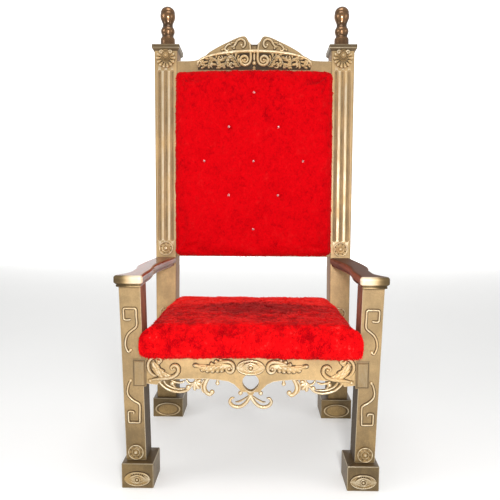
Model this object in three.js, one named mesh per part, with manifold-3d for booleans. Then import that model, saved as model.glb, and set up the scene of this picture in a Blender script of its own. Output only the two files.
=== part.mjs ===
import * as THREE from 'three';
import { mergeVertices } from 'three/addons/utils/BufferGeometryUtils.js';
import Module from 'manifold-3d';

// A tall carved armchair throne. Its front faces -Y, +X is the viewer's right and +Z is up.
// All sizes are millimetres, heights stand above the floor, and depths run back from the
// front faces of the front legs. The back leans, and its heights are measured along it.

// Driving dimensions of the frame
const gap = 0.3;
const sideCentre = 375;
const seatDepth = 554;
const seatHeight = 434;
const leanAngle = 2.4;

// Feet
const footHeight = 84;
const footChamfer = 3;
const footInset = 8;
const frontFootWidth = 104;
const frontFootDepth = 114;
const frontFootLead = 22;
const rearFootWidth = 131;
const rearFootDepth = 132;
const rearFootLead = 16;

// Front legs
const legWidthTop = 71;
const legWidthBottom = 66;
const legDepth = 80;
const legSplay = 15;

// Back posts with their flutes, caps and finials
const postWidthTop = 97;
const postWidthSeat = 84;
const postDepth = 100;
const postHeight = 1577;
const fluteWidth = 17;
const fluteDepth = 6;
const fluteSpacing = 27;
const fluteLift = 68;
const capWidth = 117;
const capChamfer = 10;
const capFascia = 16;
const finialHeight = 176;
const finialRadius = 32.5;
const shellRadius = 46;
const shellRise = 9;

// Round rosettes
const postRosetteRadius = 31;
const seatRosetteRadius = 25;
const seatRosetteLift = 29;
const legRosetteRadius = 26;
const legRosetteLift = 4;
const rosetteRise = 9;

// Arms
const armHeight = 702;
const armUpper = 27;
const armLower = 10;
const armLowerInset = 6;
const armRounding = 9;
const armOverhang = 34;
const armHalfWidth = 48;

// Seat frame and front apron
const railThickness = 25;
const railHeight = 90;
const sideRailOffset = 10;
const rearRailSetback = 30;
const boardThickness = 18;
const apronRecess = 2;
const apronThickness = 22;
const apronDrawnHalf = 349.2;
const fretRise = 12;
const carvingRise = 8;

// Raised blocks over the joints between the legs and the apron
const jointBlockWidth = 44;
const jointBlockHeight = 90;
const jointBlockRise = 10;
const jointBlockDrop = 8;

// Cushion and back pad
const cushionThickness = 96;
const cushionOverhang = 38;
const cushionLap = 3.5;
const cushionLegClearance = 7;
const cushionPostClearance = 8;
const cushionSetback = 18;
const cushionRounding = 16;
const padWidth = 654;
const padLift = 272;
const padTopDrop = 43;
const padThickness = 38;
const padRounding = 12;
const padCorner = 30;
const padCrown = 8;
const padClearance = 0.4;
const buttonRadius = 6;
const buttonRise = 5;
const buttonShareX = 0.159;
const buttonShareZ = 0.182;
const buttonLift = 11;

// Back boards and the crest
const backThickness = 36;
const backPanelThickness = 22;
const backPanelSetback = 6;
const lowerRailHeight = 60;
const crestShoulderDrop = 42;
const crestBoardHeight = 95;
const crestDrawnHalf = 326.4;
const crestCarvingRise = 9;

const materials = {
  gold: { color: 0xb8935c, roughness: 0.42, metalness: 0.7 },
  oldGold: { color: 0x9a7a48, roughness: 0.5, metalness: 0.6 },
  brass: { color: 0x7a5a34, roughness: 0.3, metalness: 0.8 },
  mahogany: { color: 0x6e3324, roughness: 0.35, metalness: 0 },
  timber: { color: 0x5b4632, roughness: 0.7, metalness: 0 },
  plush: { color: 0xc4101c, roughness: 0.95, metalness: 0 },
  crystal: { color: 0xe6e8ee, roughness: 0.1, metalness: 0.2 },
};

const wasm = await Module();
wasm.setup();

const throne = new THREE.Group();
const sides = [['left', -1], ['right', 1]];

// Only positions are kept, shared corners are merged, and flattened triangles are dropped.
function welded(geometry) {
  const plain = geometry.clone();
  plain.deleteAttribute('normal');
  plain.deleteAttribute('uv');
  const merged = mergeVertices(plain, 1e-3);
  const corners = merged.index.array;
  const kept = [];
  for (let i = 0; i < corners.length; i += 3) {
    const [a, b, c] = [corners[i], corners[i + 1], corners[i + 2]];
    if (a !== b && b !== c && c !== a) kept.push(a, b, c);
  }
  merged.setIndex(kept);
  return merged;
}

// Six times the signed volume, which is negative where the faces point inwards.
function signedVolume(geometry) {
  const place = geometry.attributes.position;
  const corners = geometry.index.array;
  const [a, b, c] = [new THREE.Vector3(), new THREE.Vector3(), new THREE.Vector3()];
  let total = 0;
  for (let i = 0; i < corners.length; i += 3) {
    a.fromBufferAttribute(place, corners[i]);
    b.fromBufferAttribute(place, corners[i + 1]);
    c.fromBufferAttribute(place, corners[i + 2]);
    total += a.dot(b.cross(c));
  }
  return total;
}

function outward(geometry) {
  const closed = welded(geometry);
  if (signedVolume(closed) < 0) closed.setIndex(Array.from(closed.index.array).reverse());
  return closed;
}

function toSolid(geometry) {
  const closed = outward(geometry);
  return new wasm.Manifold(new wasm.Mesh({
    numProp: 3,
    vertProperties: new Float32Array(closed.attributes.position.array),
    triVerts: new Uint32Array(closed.index.array),
  }));
}

function toGeometry(solid) {
  const mesh = solid.getMesh();
  const geometry = new THREE.BufferGeometry();
  geometry.setAttribute('position', new THREE.BufferAttribute(mesh.vertProperties, 3));
  geometry.setIndex(new THREE.BufferAttribute(mesh.triVerts, 1));
  return geometry;
}

function joined(pieces) {
  return toGeometry(pieces.map(toSolid).reduce((whole, piece) => whole.add(piece)));
}

function cut(geometry, cutters) {
  const whole = cutters.map(toSolid).reduce((rest, cutter) => rest.subtract(cutter), toSolid(geometry));
  return toGeometry(whole);
}

function mirrored(geometry) {
  const other = geometry.clone().scale(-1, 1, 1);
  return outward(other);
}

function onSide(side, geometry) {
  return side < 0 ? mirrored(geometry) : geometry;
}

function addPiece(name, geometry, material, parent = throne) {
  const mesh = new THREE.Mesh(outward(geometry), new THREE.MeshStandardMaterial(material));
  mesh.name = name;
  parent.add(mesh);
  return mesh;
}

function outline(points) {
  return new THREE.Shape(points.map(([x, y]) => new THREE.Vector2(x, y)));
}

function curvePoints(points, count) {
  return new THREE.SplineCurve(points.map(([x, y]) => new THREE.Vector2(x, y)))
    .getSpacedPoints(count).map((point) => [point.x, point.y]);
}

// A shape drawn as seen from the front, x across and y up, given a thickness towards the
// front from the plane y = 0. With a rounding its front edges are chamfered.
function frontPlate(shape, thickness, rounding = 0) {
  const geometry = new THREE.ExtrudeGeometry(shape, {
    depth: thickness - rounding,
    curveSegments: 4,
    bevelEnabled: rounding > 0,
    bevelThickness: rounding,
    bevelSize: rounding,
    bevelOffset: -rounding,
    bevelSegments: 1,
  });
  const place = geometry.attributes.position;
  for (let i = 0; i < place.count; i += 1) {
    place.setZ(i, Math.max(0, place.getZ(i)));
  }
  return geometry.rotateX(Math.PI / 2);
}

// A shape drawn in plan, given a height upwards from z = bottom, with both rims rounded.
function planSlab(shape, bottom, height, rounding = 0, steps = 1, curveSegments = 6) {
  return new THREE.ExtrudeGeometry(shape, {
    depth: height - 2 * rounding,
    curveSegments,
    bevelEnabled: rounding > 0,
    bevelThickness: rounding,
    bevelSize: rounding,
    bevelOffset: -rounding,
    bevelSegments: steps,
  }).translate(0, 0, bottom + rounding);
}

function rectangle(width, height) {
  return outline([
    [-width / 2, -height / 2], [width / 2, -height / 2],
    [width / 2, height / 2], [-width / 2, height / 2],
  ]);
}

// A strand of relief follows a flat curve seen from the front. It is a cylinder bent along the
// curve, with a half-round section that is flat at the back plane y = 0 and rises to the front.
function strand(points, width, rise, { start = 0.4, end = 0.4, step = 14, ribs = 4 } = {}) {
  const curve = new THREE.SplineCurve(points.map(([x, z]) => new THREE.Vector2(x, z)));
  const steps = Math.max(4, Math.round(curve.getLength() / step));
  const geometry = new THREE.CylinderGeometry(1, 1, 1, ribs, steps);
  const place = geometry.attributes.position;
  for (let i = 0; i < place.count; i += 1) {
    const along = place.getY(i) + 0.5;
    const centre = curve.getPointAt(along);
    const heading = curve.getTangentAt(along);
    const swell = Math.min(1, start + 4 * along, end + 4 * (1 - along));
    const turn = Math.atan2(place.getX(i), place.getZ(i)) / (2 * Math.PI);
    const rib = (Math.round(turn * ribs) + ribs) % ribs;
    const onAxis = Math.hypot(place.getX(i), place.getZ(i)) < 0.5;
    const angle = Math.PI * rib / (ribs - 1);
    const across = onAxis ? 0 : Math.cos(angle) * width * swell / 2;
    const height = onAxis ? 0.4 * rise * swell : Math.sin(angle) * rise * swell;
    place.setXYZ(i, centre.x - heading.y * across, -height, centre.y + heading.x * across);
  }
  return geometry;
}

// A round or oval boss with its flat back on the plane y = 0.
function boss(x, z, width, height, rise, { segments = 5, turn = 0, crown = 0.7 } = {}) {
  const ridge = crown > 0 ? [[crown, 0.72]] : [];
  const profile = [[0, 0], [1, 0], ...ridge, [0, 1]];
  return new THREE.LatheGeometry(profile.map(([r, y]) => new THREE.Vector2(r, y)), segments)
    .rotateX(Math.PI)
    .scale(width / 2, rise, height / 2)
    .rotateY(turn)
    .translate(x, 0, z);
}

// Turned mouldings: radius against rise, standing forwards from the plane y = 0.
function turnedBoss(profile, segments) {
  return new THREE.LatheGeometry(profile.map(([r, y]) => new THREE.Vector2(r, y)), segments)
    .rotateX(Math.PI);
}

// The points of a spiral that winds in from radius outer to inner, angles in turns.
function spiral(x, z, outer, inner, from, turns, count = 7) {
  return Array.from({ length: count }, (_, i) => {
    const share = i / (count - 1);
    const angle = 2 * Math.PI * (from + turns * share);
    const radius = outer + (inner - outer) * share;
    return [x + radius * Math.cos(angle), z + radius * Math.sin(angle)];
  });
}

function rosette(radius) {
  const shares = [[0, 0], [1, 0], [0.9, 0.7], [0.68, 0.35], [0.5, 0.75], [0.34, 0.35], [0, 1]];
  return turnedBoss(shares.map(([r, y]) => [r * radius, y * rosetteRise]), 10);
}

// An eye-shaped oval of traditional carving: two lids over a lens, an iris ring and a pupil.
function eyeRelief(width, height, rise) {
  const arch = (sign, share) => Array.from({ length: 6 }, (_, i) => {
    const t = i / 5;
    return [
      -Math.cos(Math.PI * t) * width / 2 * share,
      sign * height / 2 * share * Math.sin(Math.PI * t),
    ];
  });
  const lens = outline([...arch(-1, 1), ...arch(1, 1).reverse().slice(1, -1)]);
  const iris = height * 0.27;
  const ring = [[0, 0], [iris, 0], [iris * 0.9, 1], [iris * 0.6, 0.75], [0, 1.05]];
  return joined([
    frontPlate(lens, rise * 0.45),
    strand(arch(1, 0.86), height * 0.15, rise * 0.8, { step: width / 5 }),
    strand(arch(-1, 0.86), height * 0.15, rise * 0.8, { step: width / 5 }),
    turnedBoss(ring.map(([r, y]) => [r, y * rise]), 7),
  ]);
}

// Frame positions worked out from the driving dimensions
const armUnderside = armHeight - armUpper - armLower;
const legBottom = footHeight + gap;
const legTop = armUnderside - gap;
const lean = THREE.MathUtils.degToRad(leanAngle);
const leanMatrix = new THREE.Matrix4().makeTranslation(0, seatDepth, seatHeight)
  .multiply(new THREE.Matrix4().makeRotationX(-lean))
  .multiply(new THREE.Matrix4().makeTranslation(0, 0, -seatHeight));

function legWidth(height) {
  const share = (height - legBottom) / (legTop - legBottom);
  return legWidthBottom + (legWidthTop - legWidthBottom) * share;
}

function legCentre(height) {
  return sideCentre + legSplay * (height - legBottom) / (legTop - legBottom);
}

function legInner(height) {
  return legCentre(height) - legWidth(height) / 2;
}

function postWidth(height) {
  const share = Math.max(0, (height - seatHeight) / (postHeight - seatHeight));
  return postWidthSeat + (postWidthTop - postWidthSeat) * share;
}

function postInner(height) {
  return sideCentre - postWidth(height) / 2;
}

function postFace(height) {
  return seatDepth + Math.max(0, height - seatHeight) * Math.tan(lean);
}

const fluteBottom = armHeight + fluteLift;
const seatRosetteHeight = seatHeight + seatRosetteLift;
const crestShoulder = postHeight - crestShoulderDrop;
const crestBottom = crestShoulder - crestBoardHeight;
const padBottom = seatHeight + padLift;
const padTop = crestShoulder - padTopDrop;

// The carvings of the apron and the crest are drawn at a set half width, and are scaled as a
// whole to the room between the legs and between the posts.
const apronScale = (legInner(seatHeight) - gap) / apronDrawnHalf;
const crestScale = (postInner(crestShoulder) - gap) / crestDrawnHalf;

const back = new THREE.Group();
back.position.set(0, seatDepth, seatHeight);
back.rotation.x = -lean;
const backPieces = new THREE.Group();
backPieces.position.z = -seatHeight;
back.add(backPieces);
throne.add(back);

// Feet with their eye ovals in front and plain bosses behind
function footBlock(width, depth, front) {
  return planSlab(rectangle(width, depth), 0, footHeight, footChamfer)
    .translate(sideCentre - footInset, front + depth / 2, 0);
}

function rearBoss() {
  const width = rearFootWidth * 0.86;
  const height = footHeight * 0.7;
  const rise = rosetteRise * 0.8;
  const profile = [[0, 0], [1, 0], [0.9, 1], [0.8, 0.7], [0, 0.95]];
  return turnedBoss(profile, 14).scale(width / 2, rise, height / 2);
}

for (const [name, side] of sides) {
  const x = sideCentre - footInset;
  const front = -frontFootLead;
  const rear = seatDepth - rearFootLead;
  const frontBlock = footBlock(frontFootWidth, frontFootDepth, front);
  addPiece(`foot_front_${name}`, onSide(side, frontBlock), materials.oldGold);
  const rearBlock = footBlock(rearFootWidth, rearFootDepth, rear);
  addPiece(`foot_rear_${name}`, onSide(side, rearBlock), materials.oldGold);
  const eye = eyeRelief(frontFootWidth * 0.82, footHeight * 0.56, carvingRise)
    .translate(x, front - gap, footHeight * 0.39);
  addPiece(`foot_eye_${name}`, onSide(side, eye), materials.gold);
  const oval = rearBoss().translate(x, rear - gap, footHeight * 0.44);
  addPiece(`foot_boss_${name}`, onSide(side, oval), materials.gold);
}

// Front legs, tapered towards the foot and leaning outwards to the arm
function frontLeg() {
  const geometry = new THREE.BoxGeometry(1, 1, 1);
  const place = geometry.attributes.position;
  for (let i = 0; i < place.count; i += 1) {
    const height = legBottom + (place.getZ(i) + 0.5) * (legTop - legBottom);
    const x = legCentre(height) + place.getX(i) * legWidth(height);
    place.setXYZ(i, x, (place.getY(i) + 0.5) * legDepth, height);
  }
  return geometry;
}

const jointBlockTop = seatHeight - jointBlockDrop;
const jointBlockBottom = jointBlockTop - jointBlockHeight;
const legRosetteHeight = footHeight + legRosetteRadius + legRosetteLift;

// Points on the leg's face, as shares of its width outwards from the middle and of the
// height between two levels.
function onLeg(points, bottom, top) {
  return points.map(([across, up]) => {
    const height = bottom + up * (top - bottom);
    return [legCentre(height) + across * legWidth(height), height];
  });
}

// A square key whose tail sweeps out and curls in above the joint block
const upperScrollPoints = [
  [-0.02, 0.545], [0.27, 0.543], [0.31, 0.56], [0.31, 0.675], [0.27, 0.695], [-0.22, 0.695],
  [-0.27, 0.67], [-0.28, 0.49], [-0.23, 0.44], [0.14, 0.345], [0.26, 0.27], [0.28, 0.18],
  [0.17, 0.1], [0.04, 0.12],
];

// The lower scroll starts beside the joint block and ends in a square key
const lowerScrollPoints = [
  [0.08, 1.09], [0.18, 1.05], [0.26, 0.98], [0.29, 0.91], [0.23, 0.85], [0.04, 0.79], [-0.2, 0.745],
  [-0.275, 0.72], [-0.27, 0.55], [-0.255, 0.475], [-0.22, 0.45], [0.25, 0.452], [0.29, 0.475],
  [0.285, 0.6], [0.25, 0.617], [0.03, 0.61], [0.02, 0.575],
];

const legStrandWidth = 8;
const legStrandRise = 4.5;
for (const [name, side] of sides) {
  addPiece(`front_leg_${name}`, onSide(side, frontLeg()), materials.gold);
  const upperPath = onLeg(upperScrollPoints, jointBlockTop, legTop);
  const upper = strand(upperPath, legStrandWidth, legStrandRise, { start: 0.8, end: 0.9, step: 15 })
    .translate(0, -gap, 0);
  addPiece(`leg_scroll_upper_${name}`, onSide(side, upper), materials.gold);
  const lowerPath = onLeg(lowerScrollPoints, legRosetteHeight, jointBlockBottom);
  const lower = strand(lowerPath, legStrandWidth, legStrandRise, { start: 0.9, end: 0.8, step: 15 })
    .translate(0, -gap, 0);
  addPiece(`leg_scroll_lower_${name}`, onSide(side, lower), materials.gold);
  const round = rosette(legRosetteRadius).translate(sideCentre, -gap, legRosetteHeight);
  addPiece(`leg_rosette_${name}`, onSide(side, round), materials.gold);
  const block = frontPlate(rectangle(jointBlockWidth, jointBlockHeight), jointBlockRise, 5)
    .translate(legInner(jointBlockTop) + jointBlockWidth / 4, -gap, (jointBlockTop + jointBlockBottom) / 2);
  addPiece(`joint_block_${name}`, onSide(side, block), materials.oldGold);
}

// Back posts: upright to the seat, then leaning back, with three flutes in the front
function backPost() {
  const geometry = new THREE.BoxGeometry(1, 1, 2, 1, 1, 2);
  const place = geometry.attributes.position;
  const point = new THREE.Vector3();
  for (let i = 0; i < place.count; i += 1) {
    const row = place.getZ(i) + 1;
    const depth = (place.getY(i) + 0.5) * postDepth;
    if (row < 1.5) {
      const height = row < 0.5 ? footHeight + gap : seatHeight;
      point.set(sideCentre + place.getX(i) * postWidthSeat, seatDepth + depth, height);
    } else {
      point.set(sideCentre + place.getX(i) * postWidthTop, depth, postHeight).applyMatrix4(leanMatrix);
    }
    place.setXYZ(i, point.x, point.y, point.z);
  }
  return geometry;
}

const shellCentre = postHeight - shellRadius * 0.55;
const fluteTop = shellCentre - shellRadius - fluteWidth / 2;

function flute(offset) {
  const length = fluteTop - fluteBottom - fluteWidth;
  return new THREE.CapsuleGeometry(fluteWidth / 2, length, 3, 8)
    .rotateX(Math.PI / 2)
    .scale(1, 2 * fluteDepth / fluteWidth, 1)
    .translate(sideCentre + offset, 0, (fluteTop + fluteBottom) / 2)
    .applyMatrix4(leanMatrix);
}

function squareMoulding(profile) {
  const corners = profile.map(([half, z]) => new THREE.Vector2(half * Math.SQRT2, z));
  return new THREE.LatheGeometry(corners, 4).rotateY(Math.PI / 4).rotateX(Math.PI / 2);
}

function postCap() {
  const foot = Math.max(postWidthTop, postDepth) / 2;
  return squareMoulding([
    [0, 0], [foot, 0], [capWidth / 2, capChamfer],
    [capWidth / 2, capChamfer + capFascia], [0, capChamfer + capFascia],
  ]);
}

// The finial's profile as shares of its greatest radius and of its height
const finialProfile = [
  [0, 0], [0.94, 0], [0.96, 0.24], [0.68, 0.29], [0.68, 0.33], [0.9, 0.38], [0.9, 0.44],
  [0.58, 0.52], [0.54, 0.57], [0.8, 0.66], [1, 0.75], [0.95, 0.86], [0.62, 0.96], [0, 1],
];

// A half sunflower: petals that fan down and sideways from a disc under two small volutes
function shell() {
  const petals = Array.from({ length: 9 }, (_, i) => {
    const angle = Math.PI * (-0.1 + 1.2 * i / 8);
    const reach = shellRadius * (0.84 + 0.16 * Math.sin(angle));
    return boss(0, 0, reach * 0.68, shellRadius * 0.28, shellRise, { segments: 6, crown: 0 })
      .translate(reach * 0.62, 0, 0)
      .rotateY(angle);
  });
  const volutes = [-1, 1].map((way) => boss(way * shellRadius * 0.4, shellRadius * 0.34,
    shellRadius * 0.42, shellRadius * 0.38, shellRise * 0.9));
  return joined([
    ...petals,
    ...volutes,
    boss(0, 0, shellRadius * 0.75, shellRadius * 0.75, shellRise, { segments: 7 }),
  ]);
}

for (const [name, side] of sides) {
  const flutes = [-1, 0, 1].map((place) => flute(place * fluteSpacing));
  addPiece(`back_post_${name}`, onSide(side, cut(backPost(), flutes)), materials.gold);
  const middle = postDepth / 2;
  const cap = postCap().translate(sideCentre, middle, postHeight + gap);
  addPiece(`post_cap_${name}`, onSide(side, cap), materials.gold, backPieces);
  const turned = new THREE.LatheGeometry(finialProfile
    .map(([r, z]) => new THREE.Vector2(r * finialRadius, z * finialHeight)), 11);
  turned.rotateX(Math.PI / 2).translate(sideCentre, middle, postHeight + capChamfer + capFascia + 2 * gap);
  addPiece(`finial_${name}`, onSide(side, turned), materials.brass, backPieces);
  const fan = shell().translate(sideCentre, -gap, shellCentre);
  addPiece(`shell_${name}`, onSide(side, fan), materials.gold, backPieces);
  const round = rosette(postRosetteRadius)
    .translate(sideCentre, -gap, fluteBottom - postRosetteRadius);
  addPiece(`post_rosette_${name}`, onSide(side, round), materials.gold, backPieces);
  const low = rosette(seatRosetteRadius).translate(sideCentre, -gap, seatRosetteHeight);
  addPiece(`seat_rosette_${name}`, onSide(side, low), materials.gold, backPieces);
}

// Arms: each edge as [share of the way from back to front, share of the half width]
const armOuterEdge = [
  [0, 0.9], [0.15, 0.94], [0.32, 0.98], [0.45, 0.96], [0.54, 0.85], [0.63, 0.6], [0.73, 0.46],
  [0.84, 0.42], [0.91, 0.67], [0.96, 0.94], [0.985, 0.88], [1, 0.54],
];
const armInnerEdge = [
  [1, -0.96], [0.98, -1], [0.88, -0.9], [0.7, -0.81], [0.5, -0.5], [0.32, -0.52], [0.15, -0.71],
  [0, -0.9],
];

function armOutline(inset) {
  const rear = postFace(armHeight - armUpper - armLower) - gap;
  const place = ([share, across]) => {
    const middle = sideCentre + legSplay * share;
    const edge = across * armHalfWidth - Math.sign(across) * inset;
    return [middle + edge, rear - share * (rear + armOverhang - inset)];
  };
  const outer = curvePoints(armOuterEdge.map(place), 17);
  const inner = curvePoints(armInnerEdge.map(place), 9);
  return outline([...outer, ...inner]);
}

function arm() {
  return joined([
    planSlab(armOutline(0), armHeight - armUpper, armUpper, armRounding, 1),
    planSlab(armOutline(armLowerInset), armUnderside, armLower + armUpper / 2, 0),
  ]);
}

for (const [name, side] of sides) {
  addPiece(`arm_${name}`, onSide(side, arm()), materials.mahogany);
}

// Seat frame: side rails, rear rail and the board that carries the cushion
const sideRailCentre = sideCentre + sideRailOffset;
const sideRailLength = seatDepth - legDepth - 2 * gap;
for (const [name, side] of sides) {
  const rail = new THREE.BoxGeometry(railThickness, sideRailLength, railHeight)
    .translate(side * sideRailCentre, legDepth + gap + sideRailLength / 2, seatHeight - railHeight / 2);
  addPiece(`side_rail_${name}`, rail, materials.oldGold);
}

const rearRailWidth = 2 * (postInner(seatHeight) - gap);
const rearRailFront = seatDepth + rearRailSetback;
addPiece('rear_rail', new THREE.BoxGeometry(rearRailWidth, railThickness, railHeight)
  .translate(0, rearRailFront + railThickness / 2, seatHeight - railHeight / 2), materials.oldGold);

function seatBoard() {
  const front = apronRecess + apronThickness + gap;
  const nose = legInner(seatHeight - boardThickness) - gap;
  const flank = sideRailCentre - railThickness / 2 - gap;
  const tail = postInner(seatHeight) - gap;
  const half = [
    [nose, front], [nose, legDepth + gap], [flank, legDepth + gap], [flank, seatDepth - gap],
    [tail, seatDepth - gap], [tail, rearRailFront - gap],
  ];
  const other = half.map(([x, y]) => [-x, y]).reverse();
  return planSlab(outline([...half, ...other]), seatHeight - boardThickness, boardThickness);
}
addPiece('seat_board', seatBoard(), materials.timber);

// Front apron, a shaped board with a drop-shaped opening and cast fretwork below it.
// Points are [distance from the middle, distance below the seat frame's top].
const below = ([x, drop]) => [x * apronScale, seatHeight - drop * apronScale];
const apronBoss = (x, drop, width, height, rise, options) => boss(
  ...below([x, drop]), width * apronScale, height * apronScale, rise, options);
const apronEdge = [
  [303, 95], [299, 86], [277, 77], [210, 74], [131, 74], [99, 77], [73, 81],
  [53, 91], [38, 106], [30, 116], [12, 116], [8, 126], [0, 128],
];
const apronHole = [
  [0, 58], [17, 62], [26, 72], [26, 84], [18, 98], [6, 112],
];

function apronBoard() {
  const top = legInner(seatHeight) - gap;
  const bottom = legInner(seatHeight - railHeight) - gap;
  const half = [[top, seatHeight], [bottom, seatHeight - railHeight], ...apronEdge.map(below)];
  const other = half.slice(0, -1).map(([x, z]) => [-x, z]).reverse();
  const shape = outline([...half, ...other].reverse());
  const rim = [...apronHole, ...apronHole.slice(1).map(([x, drop]) => [-x, drop]).reverse()];
  shape.holes.push(new THREE.Path(rim.map(below).map(([x, z]) => new THREE.Vector2(x, z))));
  return frontPlate(shape, apronThickness).translate(0, apronRecess + apronThickness, 0);
}

// Half of the fretwork, hanging from the lower edge of the board
function fretwork() {
  const bar = (points, width, options) => strand(
    points.map(below), width * apronScale, fretRise, options);
  const ball = (x, drop, size) => apronBoss(x, drop, size, size, fretRise, { crown: 0.8 });
  return [
    bar([[302, 78], [292, 94], [274, 109], [252, 117], [228, 119], [207, 113], [196, 101],
      [184, 90], [176, 68]], 9, { start: 0.9, end: 0.9, step: 20 }),
    bar([[286, 74], [277, 92], [258, 104], [236, 109], [213, 108]], 7, { start: 0.9, step: 20 }),
    bar([[250, 112], [247, 104], [256, 93]], 6, { start: 1, end: 1 }),
    ball(256, 91, 15),
    ball(204, 104, 17),
    ball(181, 101, 20),
    ball(167, 109, 20),
    ball(166, 88, 30),
    bar([[136, 68], [146, 84], [151, 102], [146, 118], [134, 127], [124, 120]], 15,
      { start: 1, end: 0.9, step: 15 }),
    ball(126, 119, 17),
    bar([[97, 70], [107, 78], [107, 88]], 9, { start: 1, end: 1 }),
    ball(108, 89, 14),
    bar([[8, 112], [22, 110], [32, 116]], 8, { start: 1, end: 1 }),
    ball(33, 121, 15),
    bar([[-2, 124], [5, 139], [16, 155], [31, 166], [46, 168], [61, 162], [68, 150], [62, 139],
      [52, 139]], 13, { start: 1, end: 0.5, step: 15 }),
  ];
}

function frontApron() {
  const half = fretwork();
  const other = half.map((piece) => mirrored(piece));
  const placed = [...half, ...other]
    .map((piece) => piece.translate(0, apronRecess + fretRise + 2, 0));
  const drop = apronBoss(0, 127, 16, 34, fretRise).translate(0, apronRecess + fretRise + 2, 0);
  return joined([apronBoard(), ...placed, drop]);
}
addPiece('front_apron', frontApron(), materials.gold);

const apronFace = apronRecess - gap;
const apronEyeWidth = 92;
const apronEyeHeight = 49;
const apronEyeDrop = 33;
const [apronEyeX, apronEyeZ] = below([0, apronEyeDrop]);
addPiece('apron_eye', eyeRelief(apronEyeWidth * apronScale, apronEyeHeight * apronScale, carvingRise + 2)
  .translate(apronEyeX, apronFace, apronEyeZ), materials.gold);

// A horizontal leaf spray that thickens into a curl towards the middle
function apronSpray() {
  const stem = [[184, 28], [160, 33], [134, 31], [110, 25], [90, 19], [72, 19], [58, 28],
    [57, 41], [67, 49], [76, 43]].map(below);
  const lobes = [[146, 37, 22], [122, 38, 26], [98, 36, 28]].map(([x, drop, size]) => (
    apronBoss(x, drop, size, size * 0.62, carvingRise * 0.9, { turn: 0.5, crown: 0 })));
  return joined([
    strand(stem, 14 * apronScale, carvingRise, { start: 0.35, end: 0.5, step: 15 }),
    apronBoss(69, 40, 15, 15, carvingRise),
    ...lobes,
  ]);
}

// A leaf scroll that fills the corner of the apron
function apronCornerScroll() {
  const bar = (points, width, options) => strand(
    points.map(below), width * apronScale, carvingRise, options);
  return joined([
    bar([[291, 24], [286, 13], [295, 6], [310, 8], [325, 18], [331, 35], [326, 52], [312, 67],
      [290, 73], [266, 72], [246, 64], [234, 49], [235, 33], [247, 27], [256, 36], [250, 46]], 9,
      { start: 0.8, step: 16 }),
    bar([[307, 16], [302, 36], [288, 55], [262, 70]], 9, { start: 0.5, end: 0.6, step: 20 }),
    bar([[286, 34], [275, 51], [256, 64]], 8, { start: 0.4, end: 0.7, step: 20 }),
    bar([[319, 34], [308, 52], [289, 68]], 8, { start: 0.4, end: 0.7, step: 20 }),
    apronBoss(315, 75, 16, 16, carvingRise),
  ]);
}

for (const [name, side] of sides) {
  const spray = apronSpray().translate(0, apronFace, 0);
  addPiece(`apron_spray_${name}`, onSide(side, spray), materials.gold);
  const corner = apronCornerScroll().translate(0, apronFace, 0);
  addPiece(`apron_corner_scroll_${name}`, onSide(side, corner), materials.gold);
}

// Cushion: a tapered slab with a front lip that laps over the legs
function cushion() {
  const front = -cushionOverhang;
  const rear = seatDepth - cushionSetback;
  const frontHalf = legInner(seatHeight) + cushionLap;
  const middleHalf = legInner(seatHeight) - cushionLegClearance;
  const backHalf = postInner(seatHeight) - cushionPostClearance;
  const corner = (x, y, dx, dy) => [[x, y - dy], [x - 0.3 * dx, y - 0.3 * dy], [x - dx, y]];
  const halfBody = [
    [middleHalf, front + 6],
    [middleHalf, rear * 0.78],
    ...corner(backHalf, rear, 13, 16),
  ];
  const body = outline([...halfBody, ...halfBody.map(([x, y]) => [-x, y]).reverse()]);
  const lipDepth = cushionOverhang - gap * 3;
  const bottom = seatHeight + padClearance;
  return joined([
    planSlab(body, bottom, cushionThickness, cushionRounding, 2),
    planSlab(rectangle(2 * frontHalf, lipDepth), bottom, cushionThickness, cushionRounding, 2)
      .translate(0, front + lipDepth / 2, 0),
  ]);
}
addPiece('seat_cushion', cushion(), materials.plush);

// Back panel, lower rail and crest rail between the posts, in the leaning frame
function backBoard(bottom, top, front, thickness) {
  const low = postInner(bottom) - gap;
  const high = postInner(top) - gap;
  return frontPlate(outline([[-low, bottom], [low, bottom], [high, top], [-high, top]]), thickness)
    .translate(0, front + thickness, 0);
}
const panelBottom = padBottom + lowerRailHeight;
addPiece('back_lower_rail', backBoard(padBottom + gap, panelBottom - gap, 0, backThickness),
  materials.oldGold, backPieces);
addPiece('back_panel', backBoard(panelBottom, crestBottom - gap, backPanelSetback, backPanelThickness),
  materials.timber, backPieces);

// The crest's upper edge as [distance from the middle, height above the shoulder]
const above = ([x, rise]) => [x * crestScale, crestShoulder + rise * crestScale];
const crestRise = [
  [250, 3], [212, 20], [187, 40], [145, 64], [103, 84], [82, 94], [60, 102], [42, 104], [33, 98],
  [25, 84], [16, 72], [0, 68],
];

function crestRail() {
  const top = postInner(crestShoulder) - gap;
  const low = postInner(crestBottom) - gap;
  const half = [[low, crestBottom], [top, crestShoulder], ...crestRise.map(above)];
  const other = half.slice(0, -1).map(([x, z]) => [-x, z]).reverse();
  return frontPlate(outline([...half, ...other]), backThickness, 2).translate(0, backThickness, 0);
}
addPiece('crest_rail', crestRail(), materials.gold, backPieces);

// Crest carving: an arched band over a lunette of leaf scrolls, with two volutes at the middle.
// Points are [distance from the middle, height above the shoulder].
const crestBoss = (x, rise, width, height, depth, options) => boss(
  ...above([x, rise]), width * crestScale, height * crestScale, depth, options);
const crestArch = [[238, -14], [230, 2], [198, 17], [158, 27], [115, 33], [60, 38], [0, 40]];

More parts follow.
